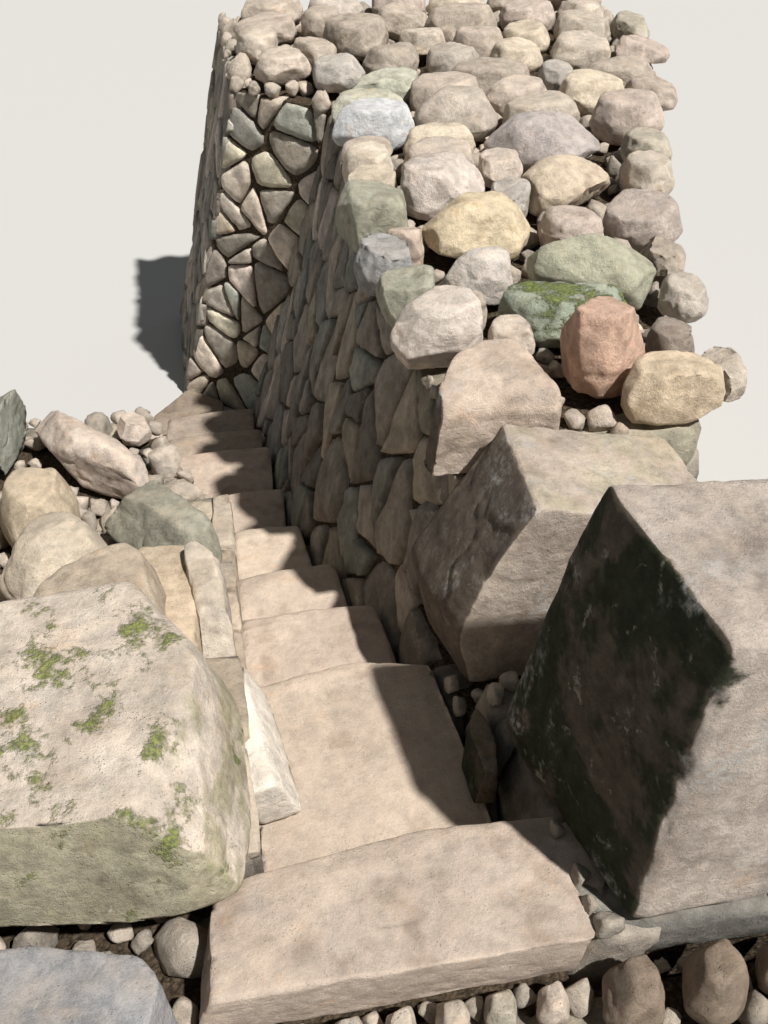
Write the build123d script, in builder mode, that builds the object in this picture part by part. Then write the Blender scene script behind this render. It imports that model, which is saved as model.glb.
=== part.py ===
from build123d import *
import os
from math import atan2, ceil, cos, floor, pi, radians, sin, sqrt

os.makedirs("parts", exist_ok=True)

# Outdoor stone steps, in millimetres, +Z up, resting on level ground at z = 0.
# The flight runs down along +Y. Seen from its top, a high dry-stone retaining wall
# is on the right (+X) and a low wall of boulders steps down on the left (-X).

# Flight: depth of tread that shows on each step, from the bottom slab upward
GOINGS = [610, 520, 450, 650, 520, 510, 450, 450, 800]
TOP_SLAB_DEPTH = 400
RISER = 192
BOTTOM_SLAB_RISE = 95
BOTTOM_FRONT_Y = 560
BEARING = 100
BED_JOINT = 0.3
NOSE_RADIUS = 22
# The flight bends a little at the front of the fifth step down
BENT_STEPS = 5

# Retaining wall on the right: its battered face, measured on the ground line
FACE_FOOT_X = 100
FACE_BATTER = 0.287
UPPER_FACE_TURN = -0.10
LOWER_FACE_TURN = 0.058
WALL_TOP = 2250
BOULDER_BED_LENGTH = 550
BANK_SIDE_X = 1700
BANK_SIDE_FLARE = 0.36
FAR_END_Y = 1750

# Return where the retaining wall jogs towards the left below the flight
JOG_FOOT = (250, 200)
JOG_SLOPE = -0.8
JOG_LEAN = 0.07
FAR_FACE_X = -200
FAR_FACE_BATTER = 0.24

# Low wall on the left
LEFT_INNER_X = 100
LEFT_INNER_TURN = -0.317
LEFT_OUTER_X = -1150
LEFT_OUTER_BATTER = 0.12
LEFT_END_Y = -950

# Footing behind the top slab, which carries the packing cobbles
FOOTING_DEPTH = 270

# Facing stones of the dry-stone walls: pitch along and up a face, how far each wanders from
# its place as a share of the pitch, the open joints, and how far the odd stone is set back
STONE_PITCH = 470
COURSE_PITCH = 315
BANK_STONE_SCALE = 1.45
STONE_WANDER = 0.26
COURSE_WANDER = 0.24
JOINT_WIDTH = 26
JOINT_DEPTH = 45
SET_BACK = 15
SMALLEST_STONE = 70

# Shelf beside the top slab, and the pocket in the wall top for the small boulder
LANDING_LENGTH = 450
POCKET_LENGTH = 415
POCKET_INSET = 400
POCKET_DEPTH = 120

# Rough stones: share of the full outline at the bed, height of the belly, and gap
UNEVENNESS = 0.07
BED_SHARE = 0.8
BELLY_SHARE = 0.42
SIDES = 7
STONE_GAP = 8
# How far a coping stone would reach, as a share of its size, before its neighbours trim it
COPING_REACH = 1.15

STEP_COUNT = len(GOINGS) + 1


def step_top(step):
    """Height of a tread, counted from the bottom slab, which is step 0."""
    return BOTTOM_SLAB_RISE + step * RISER


def step_front(step):
    """Front edge of a step, counted from the bottom slab."""
    return BOTTOM_FRONT_Y - sum(GOINGS[:step])


def step_back(step):
    """Rear edge of a step, which reaches under the step above it."""
    if step == STEP_COUNT - 1:
        return step_front(step) - TOP_SLAB_DEPTH
    return step_front(step + 1) - BEARING


TOP_STEP = STEP_COUNT - 1
TOP_SEAT = step_top(TOP_STEP)
NEAR_END_Y = step_back(TOP_STEP)
BEND_Y = step_front(BENT_STEPS)


def face_x(y, z):
    """The retaining wall's face at a given place along the flight and height."""
    turn = UPPER_FACE_TURN if y < BEND_Y else LOWER_FACE_TURN
    return FACE_FOOT_X + turn * (y - BEND_Y) + FACE_BATTER * z


def bank_x(y):
    """The retaining wall's rear face, towards the bank."""
    return BANK_SIDE_X + BANK_SIDE_FLARE * max(0, y - step_front(TOP_STEP - 2))


def plane_through(a, b, c, inside):
    """Plane through three points, facing the side that holds the point inside."""
    a, b, c = Vector(*a), Vector(*b), Vector(*c)
    normal = (b - a).cross(c - a).normalized()
    if (Vector(*inside) - a).dot(normal) < 0:
        normal = normal * -1
    return Plane(origin=a, z_dir=normal)


def wall_face_plane(upper):
    """Face of the retaining wall beside the upper or the lower run, facing the steps."""
    near, far = (BEND_Y - 1000, BEND_Y - 1) if upper else (BEND_Y + 1, BEND_Y + 1000)
    return plane_through(
        (face_x(near, 0), near, 0),
        (face_x(far, 0), far, 0),
        (face_x(near, 1000), near, 1000),
        (FACE_FOOT_X - 3000, BEND_Y, 0),
    )


def left_face_plane(upper):
    """Inner face of the low wall, facing the steps."""
    turn = 0 if upper else LEFT_INNER_TURN
    return plane_through(
        (LEFT_INNER_X, BEND_Y, 0),
        (LEFT_INNER_X + 1000 * turn, BEND_Y + 1000, 0),
        (LEFT_INNER_X, BEND_Y, 1000),
        (LEFT_INNER_X + 3000, BEND_Y, 0),
    )


def jog_plane(near_side):
    """Face of the return, which leans back a little as it rises."""
    x, y = JOG_FOOT
    inside = (x, y - 3000, 0) if near_side else (x, y + 3000, 0)
    return plane_through(
        (x, y, 0),
        (x + 1000, y + 1000 * JOG_SLOPE, 0),
        (x, y + 1000 * JOG_LEAN, 1000),
        inside,
    )


def write(piece, label):
    """Label a finished piece and write it to its own file."""
    piece.part.label = label
    export_step(piece.part, f"parts/{label}.step")


def trim(*planes):
    """Cut the stone being made by each plane, and keep the side that the plane faces."""
    for plane in planes:
        split(bisect_by=plane, keep=Keep.TOP)


# Facing of the dry-stone walls

def wander(i, j, phase):
    """An uneven number from -1 to 1 that belongs to one stone of a face."""
    return sin(i * 12.9 + j * 78.2 + phase) * cos(i * 4.1 - j * 9.7 + phase)


def stone_middle(i, j, scale):
    """Middle of a facing stone, counted along and up the face, with every other course shifted."""
    return (
        (i + j % 2 / 2 + STONE_WANDER * wander(i, j, 0)) * STONE_PITCH * scale,
        (j + 1 / 2 + COURSE_WANDER * wander(i, j, 1)) * COURSE_PITCH * scale,
    )


def nearer_part(outline, middle, other):
    """The part of an outline nearer to one stone than to another, less half the joint."""
    step_u, step_v = other[0] - middle[0], other[1] - middle[1]
    distance = sqrt(step_u ** 2 + step_v ** 2)
    limit = (distance - JOINT_WIDTH) / 2
    past = [((u - middle[0]) * step_u + (v - middle[1]) * step_v) / distance - limit for u, v in outline]
    kept = []
    for k, (u, v) in enumerate(outline):
        after = (k + 1) % len(outline)
        next_u, next_v = outline[after]
        if past[k] <= 0:
            kept.append((u, v))
        if past[k] * past[after] < 0:
            share = past[k] / (past[k] - past[after])
            kept.append((u + (next_u - u) * share, v + (next_v - v) * share))
    return kept


def facing_stone(outline, i, j, scale):
    """Outline of one facing stone, fitted between its neighbours."""
    for across in range(-2, 3):
        for up in range(-2, 3):
            if across or up:
                outline = nearer_part(outline, stone_middle(i, j, scale), stone_middle(i + across, j + up, scale))
    return outline


def wide_enough(outline):
    """Whether an outline is large enough for a stone of its own."""
    if len(outline) < 3:
        return False
    return all(max(p[k] for p in outline) - min(p[k] for p in outline) > SMALLEST_STONE for k in (0, 1))


def face_with_stones(wall, direction, scale=1.0):
    """Cut open joints between fitted stones into the face of a wall that looks one way."""
    face = max(wall.faces(), key=lambda side: side.normal_at().dot(Vector(*direction)))
    outward = face.normal_at()
    level = Vector(0, 0, 1).cross(outward).normalized()
    plane = Plane(origin=outward * outward.dot(face.center()), x_dir=level, z_dir=outward)
    corners = [tuple(plane.to_local_coords(corner.center()))[:2] for corner in face.vertices()]
    mid_u, mid_v = (sum(corner[k] for corner in corners) / len(corners) for k in (0, 1))
    corners.sort(key=lambda corner: atan2(corner[1] - mid_v, corner[0] - mid_u))
    low_u, low_v = (min(corner[k] for corner in corners) - 2 * JOINT_DEPTH for k in (0, 1))
    high_u, high_v = (max(corner[k] for corner in corners) + 2 * JOINT_DEPTH for k in (0, 1))
    sheet = [(low_u, low_v), (high_u, low_v), (high_u, high_v), (low_u, high_v)]
    stones = []
    for i in range(floor(low_u / STONE_PITCH / scale) - 1, ceil(high_u / STONE_PITCH / scale) + 2):
        for j in range(floor(low_v / COURSE_PITCH / scale) - 1, ceil(high_v / COURSE_PITCH / scale) + 2):
            if wide_enough(facing_stone(corners, i, j, scale)):
                stones.append(facing_stone(sheet, i, j, scale))
    with BuildSketch(plane) as joints:
        with Locations(((low_u + high_u) / 2, (low_v + high_v) / 2)):
            Rectangle(high_u - low_u, high_v - low_v)
        for outline in stones:
            with BuildLine():
                Polyline(*outline, close=True)
            make_face(mode=Mode.SUBTRACT)
    extrude(joints.sketch, amount=JOINT_DEPTH, dir=outward * -1, mode=Mode.SUBTRACT)
    with BuildSketch(plane) as lower_stones:
        for outline in stones[::3]:
            with BuildLine():
                Polyline(*outline, close=True)
            make_face()
    extrude(lower_stones.sketch, amount=SET_BACK, dir=outward * -1, mode=Mode.SUBTRACT)


# Steps

# Name, left and right end of the front edge (x, and how far it falls back), and bow
STEP_FRONTS = [
    ("step_10_bottom", -420, 330, 100, 0, 0),
    ("step_09", -265, 30, 330, 0, 12),
    ("step_08", -250, 10, 400, 0, 10),
    ("step_07", -400, 25, 480, 0, 16),
    ("step_06", -300, 30, 600, 0, 14),
    ("step_05", -200, 20, 700, 30, 12),
    ("step_04", -100, 12, 800, 0, 10),
    ("step_03", -100, 0, 900, 25, 14),
    ("step_02", -100, 70, 1000, 95, 26),
    ("step_01_top", -20, 40, 1100, 0, 26),
]
STEP_BACK_SPREAD = 40


def step_slab(step):
    """A split slab with a worn front edge, bedded on the back of the slab below."""
    label, left, left_fall, right, right_fall, bow = STEP_FRONTS[step]
    front, back, top = step_front(step), step_back(step), step_top(step)
    thickness = RISER - BED_JOINT if step else BOTTOM_SLAB_RISE
    upper = step >= BENT_STEPS
    with BuildPart() as slab:
        with BuildSketch(Plane.XY.offset(top - thickness)):
            with BuildLine():
                Polyline(
                    (left, front - left_fall - bow),
                    ((left + right) / 2, front),
                    (right, front - right_fall - bow),
                    (right, back),
                    (left - STEP_BACK_SPREAD, back),
                    close=True,
                )
            make_face()
        extrude(amount=thickness)
        nosing = slab.faces().sort_by(Axis.Z)[-1].edges().sort_by(Axis.Y)[-2:]
        fillet(nosing, radius=NOSE_RADIUS)
        trim(wall_face_plane(upper))
        if 2 <= step < TOP_STEP:
            trim(left_face_plane(upper))
        if step == 0:
            trim(jog_plane(True))
    write(slab, label)


for step_number in range(STEP_COUNT):
    step_slab(step_number)


# Rubble bed under the flight, in an upper and a lower run

BED_LEFT_X = -220


def rubble_bed(label, first, last, near_y, upper):
    """Stepped mass of rubble below the slabs from step first up to step last."""
    with BuildPart() as bed:
        with BuildSketch(Plane.YZ.offset(BED_LEFT_X)):
            with BuildLine():
                outline = [(step_back(first - 1), 0)]
                for step in range(first, last + 1):
                    seat = step_top(step - 1)
                    far_y = step_back(step - 1)
                    outline += [(far_y, seat), (step_back(step), seat)]
                outline[-1] = (near_y, outline[-1][1])
                outline.append((near_y, 0))
                Polyline(*outline, close=True)
            make_face()
        extrude(amount=face_x(near_y, WALL_TOP) - BED_LEFT_X)
        trim(wall_face_plane(upper), left_face_plane(upper))
    write(bed, label)


rubble_bed("rubble_bed_lower", 1, BENT_STEPS - 1, step_back(BENT_STEPS - 1), False)
rubble_bed("rubble_bed_upper", BENT_STEPS, TOP_STEP, NEAR_END_Y, True)


# Footing behind the top slab

with BuildPart() as footing:
    with BuildSketch(Plane.XY):
        with BuildLine():
            Polyline(
                (LEFT_OUTER_X, NEAR_END_Y - FOOTING_DEPTH),
                (BANK_SIDE_X, NEAR_END_Y - FOOTING_DEPTH),
                (BANK_SIDE_X, NEAR_END_Y),
                (LEFT_OUTER_X, NEAR_END_Y),
                close=True,
            )
        make_face()
    extrude(amount=step_top(TOP_STEP - 1))
    for footing_side in ((0, -1, 0), (-1, 0, 0), (1, 0, 0)):
        face_with_stones(footing, footing_side, BANK_STONE_SCALE)
write(footing, "rear_footing")


# Retaining wall on the right, in lengths

def wall_length(label, near, far, top, upper, *cuts, pocket=False):
    """A length of the retaining wall, with or without the pocket at its near end."""
    with BuildPart() as wall:
        with BuildSketch(Plane.XY):
            with BuildLine():
                Polyline(
                    (FACE_FOOT_X - 400, near),
                    (bank_x(near), near),
                    (bank_x(far), far),
                    (FACE_FOOT_X - 400, far),
                    close=True,
                )
            make_face()
        extrude(amount=top)
        face = wall_face_plane(upper)
        trim(Plane(origin=face.origin, z_dir=face.z_dir * -1), *cuts)
        face_with_stones(wall, (-1, 0, 0))
        face_with_stones(wall, (1, 0, 0), BANK_STONE_SCALE)
        if pocket:
            with BuildSketch(Plane.XY.offset(top)):
                with BuildLine():
                    Polyline(
                        (FACE_FOOT_X, near - 1),
                        (POCKET_RIGHT_X, near - 1),
                        (POCKET_RIGHT_X, POCKET_FAR_Y),
                        (FACE_FOOT_X, POCKET_FAR_Y),
                        close=True,
                    )
                make_face()
            extrude(amount=-POCKET_DEPTH, mode=Mode.SUBTRACT)
    write(wall, label)


BED_SPLIT_Y = step_front(TOP_STEP) + LANDING_LENGTH
WALL_START_Y = BED_SPLIT_Y + BOULDER_BED_LENGTH
POCKET_FAR_Y = WALL_START_Y + POCKET_LENGTH
POCKET_RIGHT_X = face_x(WALL_START_Y, WALL_TOP) + POCKET_INSET
wall_length("retaining_wall_1", NEAR_END_Y, BED_SPLIT_Y, TOP_SEAT, True)
wall_length("retaining_wall_2", BED_SPLIT_Y, WALL_START_Y, step_top(TOP_STEP - 1), True)
wall_length("retaining_wall_3", WALL_START_Y, BEND_Y, WALL_TOP, True, pocket=True)
wall_length("retaining_wall_4", BEND_Y, JOG_FOOT[1] + 400, WALL_TOP, False, jog_plane(True))


# Return and far length of the retaining wall

FAR_MIDDLE_Y = 900


def far_wall(label, near, far, *cuts):
    """A length of the wall beyond the return, with its own battered face."""
    with BuildPart() as wall:
        with BuildSketch(Plane.XY):
            with BuildLine():
                Polyline(
                    (FAR_FACE_X, near),
                    (bank_x(near), near),
                    (bank_x(BOTTOM_FRONT_Y), BOTTOM_FRONT_Y),
                    (bank_x(BOTTOM_FRONT_Y), far),
                    (FAR_FACE_X, far),
                    close=True,
                )
            make_face()
        extrude(amount=WALL_TOP)
        far_face = plane_through(
            (FAR_FACE_X, 0, 0),
            (FAR_FACE_X, 1000, 0),
            (FAR_FACE_X + FAR_FACE_BATTER * 1000, 0, 1000),
            (FAR_FACE_X + 3000, 0, 0),
        )
        trim(far_face, *cuts)
        face_with_stones(wall, (-1, 0, 0))
        face_with_stones(wall, (-1, -1, 0))
        face_with_stones(wall, (1, 0, 0), BANK_STONE_SCALE)
        face_with_stones(wall, (1, -BANK_SIDE_FLARE, 0), BANK_STONE_SCALE)
    write(wall, label)


far_wall("return_wall", -2200, FAR_MIDDLE_Y, jog_plane(False))

with BuildPart() as far_end:
    with BuildSketch(Plane.XZ.offset(-FAR_END_Y)):
        with BuildLine():
            Polyline(
                (FAR_FACE_X, 0),
                (bank_x(BOTTOM_FRONT_Y), 0),
                (bank_x(BOTTOM_FRONT_Y), WALL_TOP),
                (FAR_FACE_X + FAR_FACE_BATTER * WALL_TOP, WALL_TOP),
                close=True,
            )
        make_face()
    extrude(amount=FAR_END_Y - FAR_MIDDLE_Y)
    face_with_stones(far_end, (-1, 0, 0))
    face_with_stones(far_end, (1, 0, 0), BANK_STONE_SCALE)
    face_with_stones(far_end, (0, 1, 0), BANK_STONE_SCALE)
write(far_end, "far_wall")


# Low wall on the left, stepping down beside the flight

def left_wall(label, near, far, top, upper):
    """A length of the low wall, plumb towards the steps and battered outside."""
    with BuildPart() as wall:
        with BuildSketch(Plane.XY):
            with BuildLine():
                Polyline(
                    (LEFT_OUTER_X - 400, near),
                    (LEFT_INNER_X + 100, near),
                    (LEFT_INNER_X + 100, far),
                    (LEFT_OUTER_X - 400, far),
                    close=True,
                )
            make_face()
        extrude(amount=top)
        inner = left_face_plane(upper)
        outer = plane_through(
            (LEFT_OUTER_X, 0, WALL_TOP),
            (LEFT_OUTER_X, 1000, WALL_TOP),
            (LEFT_OUTER_X - LEFT_OUTER_BATTER * 1000, 0, WALL_TOP - 1000),
            (0, 0, 0),
        )
        trim(Plane(origin=inner.origin, z_dir=inner.z_dir * -1), outer)
        face_with_stones(wall, (-1, 0, 0))
        if far == LEFT_END_Y:
            face_with_stones(wall, (0, 1, 0))
    write(wall, label)


LEFT_SPLITS = [step_front(TOP_STEP) - 20, step_front(TOP_STEP - 1) - 90, step_front(TOP_STEP - 2) + 250]
LEFT_TOPS = [step_top(TOP_STEP - 2) + 60, step_top(TOP_STEP - 3), step_top(BENT_STEPS - 1) + 40]
LEFT_SEATS = [
    ("left_wall_1", NEAR_END_Y, LEFT_SPLITS[0], step_top(TOP_STEP - 1)),
    ("left_wall_2", LEFT_SPLITS[0], LEFT_SPLITS[1], TOP_SEAT),
    ("left_wall_3", LEFT_SPLITS[1], LEFT_SPLITS[2], LEFT_TOPS[0]),
    ("left_wall_4", LEFT_SPLITS[2], BEND_Y, LEFT_TOPS[1]),
    ("left_wall_5", BEND_Y, LEFT_END_Y, LEFT_TOPS[2]),
]
for wall_label, wall_near, wall_far, wall_top in LEFT_SEATS:
    left_wall(wall_label, wall_near, wall_far, wall_top, wall_near < BEND_Y)


# Great boulders beside the upper steps

def block(label, anchor, outline, height, *facets, against=()):
    """A quarried boulder: its widest plan raised from its seat, and trimmed by slanted facets.

    The outline and the three points of each facet are measured from the anchor on the seat.
    """
    ax, ay, seat = anchor
    corners = [(ax + x, ay + y) for x, y in outline]
    centre_x = sum(x for x, y in corners) / len(corners)
    centre_y = sum(y for x, y in corners) / len(corners)
    inside = (centre_x, centre_y, seat + height / 2)
    with BuildPart() as boulder:
        with BuildSketch(Plane.XY.offset(seat)):
            with BuildLine():
                Polyline(*corners, close=True)
            make_face()
        extrude(amount=height)
        for facet in facets:
            trim(plane_through(*[(ax + x, ay + y, seat + z) for x, y, z in facet], inside))
        trim(*against)
    write(boulder, label)


# Tall dark boulder with the pale top, on the shelf beside the top slab
SHELF_LENGTH = BED_SPLIT_Y - NEAR_END_Y
block(
    "boulder_right_large", (face_x(NEAR_END_Y, TOP_SEAT), NEAR_END_Y, TOP_SEAT),
    [(76, 0), (-95, 635), (45, SHELF_LENGTH), (806, SHELF_LENGTH), (806, 20)], 977,
    ((76, 0, 0), (-95, 635, 0), (126, 12, 977)),
    ((-95, 635, 0), (56, 560, 977), (126, 12, 977)),
    ((76, 0, 0), (806, 20, 0), (126, 20, 977)),
    ((-95, 635, 0), (45, SHELF_LENGTH, 0), (56, 560, 977)),
    ((45, SHELF_LENGTH, 0), (806, SHELF_LENGTH, 0), (300, 560, 977)),
    ((56, 560, 977), (126, 12, 977), (806, 200, 890)),
    ((806, SHELF_LENGTH, 0), (806, 20, 0), (720, 300, 977)),
)
# Its neighbour, which bulges over the flight and leans on the end of the wall
BED_LENGTH = BOULDER_BED_LENGTH
block(
    "boulder_right_middle", (face_x(WALL_START_Y, TOP_SEAT), WALL_START_Y, step_top(TOP_STEP - 1)),
    [(0, 100 - BED_LENGTH), (-80, 190 - BED_LENGTH), (-85, -20), (790, -20), (810, 230 - BED_LENGTH),
     (660, 90 - BED_LENGTH)], 770,
    ((45, 100 - BED_LENGTH, 0), (-20, -190, 0), (-85, -190, 270)),
    ((-20, -190, 0), (-20, -20, 0), (-85, -20, 270)),
    ((-85, 190 - BED_LENGTH, 270), (-85, -20, 270), (215, -20, 770)),
    ((0, 100 - BED_LENGTH, 300), (-85, 250 - BED_LENGTH, 300), (175, 120 - BED_LENGTH, 770)),
    ((215, -20, 770), (175, 120 - BED_LENGTH, 770), (800, -100, 640)),
)
# The boulder in the pocket of the wall top
block(
    "boulder_right_small", (POCKET_RIGHT_X, WALL_START_Y, WALL_TOP - POCKET_DEPTH),
    [(-540, 5), (-560, 110), (-470, 250), (-250, 390), (-70, 370), (-40, 170), (-85, 5)], 320,
    ((-520, 5, 0), (-540, 110, 0), (-500, 110, 320)),
    ((-540, 110, 0), (-470, 250, 0), (-440, 210, 320)),
    ((-540, 0, 250), (-85, 0, 250), (-300, 60, 320)),
    ((-40, 170, 200), (-70, 370, 200), (-120, 270, 320)),
)
block(
    "chock_stone", (face_x(BED_SPLIT_Y, TOP_SEAT), BED_SPLIT_Y, step_top(TOP_STEP - 1) + BED_JOINT),
    [(-100, -330), (-110, -170), (-40, -70), (-10, -90), (10, -250), (-10, -340)], 175,
    ((-100, -330, 0), (-110, -170, 0), (-80, -230, 175)),
    ((10, -250, 0), (-10, -340, 0), (-10, -280, 175)),
    against=[wall_face_plane(True)],
)
LEFT_SEAT = TOP_SEAT + BED_JOINT
block(
    "boulder_left_large", (LEFT_INNER_X, LEFT_SPLITS[1], LEFT_SEAT),
    [(-40, -870), (-5, -690), (-5, -240), (-140, -10), (-1000, -10), (-1040, -610), (-900, -830), (-250, -920)],
    380,
    ((-40, -870, 0), (-5, -690, 0), (-170, -710, 380)),
    ((-5, -690, 0), (-5, -240, 0), (-110, -510, 380)),
    ((-5, -240, 0), (-140, -10, 0), (-140, -270, 380)),
    ((-250, -920, 60), (-900, -830, 60), (-470, -800, 380)),
    ((-170, -710, 380), (-140, -270, 380), (-900, -400, 330)),
)
block(
    "cream_slab", (LEFT_INNER_X, LEFT_SPLITS[1], step_top(TOP_STEP - 1) + BED_JOINT),
    [(BED_JOINT, -550), (135, -525), (65, -60), (BED_JOINT, -50)], 190,
    ((135, -525, 0), (65, -60, 0), (30, -310, 190)),
)
block(
    "grey_slab_left", (LEFT_INNER_X, NEAR_END_Y, step_top(TOP_STEP - 1)),
    [(-740, -230), (-290, -230), (-210, 0), (-290, 110), (-530, 180), (-740, 180)], 290,
    ((-290, -230, 0), (-210, 0, 0), (-290, -80, 290)),
)


# Smaller rough stones

def rough_outline(x, y, length, width, turn):
    """Uneven rounded outline of a field stone."""
    bearing = radians(turn)
    points = []
    for i in range(SIDES):
        angle = 2 * pi * i / SIDES + x / 97
        reach = 1 + UNEVENNESS * sin(2.3 * i + y / 61)
        u = length / 2 * cos(angle) * reach
        v = width / 2 * sin(angle) * reach
        points.append((x + u * cos(bearing) - v * sin(bearing), y + u * sin(bearing) + v * cos(bearing)))
    return points


def rough_stone(outline, seat, height, crown=0.6, peak=(0, 0)):
    """Add a rough stone: widest at its belly, with its crown smaller and off centre by the peak."""
    centre_x = sum(x for x, y in outline) / len(outline)
    centre_y = sum(y for x, y in outline) / len(outline)
    rings = [
        [(centre_x + (x - centre_x) * share + peak[0] * shift,
          centre_y + (y - centre_y) * share + peak[1] * shift,
          seat + level * height) for x, y in outline]
        for level, share, shift in [(0, BED_SHARE, 0), (BELLY_SHARE, 1, 0), (1, crown, 1)]
    ]
    facets = [Face(Wire.make_polygon(ring)) for ring in (rings[0], rings[-1])]
    for lower, upper in zip(rings, rings[1:]):
        for k in range(len(outline)):
            facets.append(Face(Wire.make_polygon([lower[k - 1], lower[k], upper[k], upper[k - 1]])))
    add(Solid(Shell(facets)))


# Stones on the left wall, measured from its inner edge and from the bend

def left_stones(label, seat, shaped, rows=()):
    """One node of stones on the left wall: shaped ones by outline, others by place and size."""
    with BuildPart() as group:
        for height, crown, peak, outline in shaped:
            placed = [(LEFT_INNER_X + x, BEND_Y + y) for x, y in outline]
            rough_stone(placed, seat, height, crown, peak)
        for x, y, length, width, height in rows:
            rough_stone(rough_outline(LEFT_INNER_X + x, BEND_Y + y, length, width, 0), seat, height)
    write(group, label)


left_stones("left_stone_1", LEFT_TOPS[0], [(500, 0.62, (-20, -20), [
    (-700, -1480), (-730, -1260), (-560, -1080), (-330, -1010), (-215, -1040), (-165, -1210), (-150, -1480),
])])
left_stones("left_stone_2", LEFT_TOPS[0], [(360, 0.7, (0, 20), [
    (-140, -1475), (-155, -1210), (-190, -1000), (-90, -940), (-25, -1040), (-3, -1270), (-5, -1475),
])])
left_stones("left_stone_3", LEFT_TOPS[0], [(310, 0.6, (20, 0), [
    (-740, -1060), (-880, -900), (-820, -640), (-690, -550), (-490, -670), (-390, -830), (-550, -1040),
])], [(-1010, -1290, 460, 380, 380), (-1080, -800, 330, 420, 280)])
left_stones("left_stone_4", LEFT_TOPS[1], [(300, 0.75, (0, 20), [
    (-440, -490), (-580, -280), (-320, -100), (-180, -210), (-20, -560), (-40, -690), (-170, -705),
])])
left_stones("left_stone_5", LEFT_TOPS[1], [(350, 0.6, (0, 20), [
    (-890, -480), (-1010, -200), (-950, -20), (-690, -20), (-605, -170), (-610, -330), (-700, -500),
])], [(-1170, -330, 200, 460, 260)])
left_stones("left_stone_6", LEFT_TOPS[2], [(310, 0.6, (-20, -20), [
    (-620, 230), (-830, 570), (-1090, 790), (-920, 1200), (-600, 880), (-320, 440), (-370, 350),
])], [(-850, 240, 360, 380, 300), (-490, 990, 240, 260, 150)])
left_stones("left_stone_7", LEFT_TOPS[2], [(350, 0.6, (0, 20), [
    (-1230, 420), (-1230, 1000), (-1180, 1225), (-1030, 1220), (-970, 1120), (-1110, 760), (-1130, 620),
])])


# Packing along the rear edge of the top slab

def packing(label, x_start, x_end, count, width, height):
    """A row of cobbles laid on the footing against the rear edge of the top slab."""
    pitch = (x_end - x_start) / count
    seat = step_top(TOP_STEP - 1)
    with BuildPart() as group:
        for i in range(count):
            grow = 1 + 0.14 * sin(2.1 * i)
            x = x_start + pitch * (i + 0.5)
            half_x = (pitch - STONE_GAP) / 2
            half_y = width * grow / 2
            y = NEAR_END_Y - half_y - STONE_GAP
            outline = [
                (x - half_x, y - half_y * 0.4), (x - half_x * 0.5, y - half_y), (x + half_x * 0.6, y - half_y * 0.9),
                (x + half_x, y), (x + half_x * 0.7, y + half_y), (x - half_x * 0.6, y + half_y * 0.8),
            ]
            rough_stone(outline, seat, height * grow)
    write(group, label)


packing("packing_cobbles", FACE_FOOT_X - 160, FACE_FOOT_X + 720, 7, 130, 105)
packing("packing_rubble", FACE_FOOT_X + 740, FACE_FOOT_X + 1560, 4, 190, 200)


# Coping stones, which fit together like a rough pavement along the wall top

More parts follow.
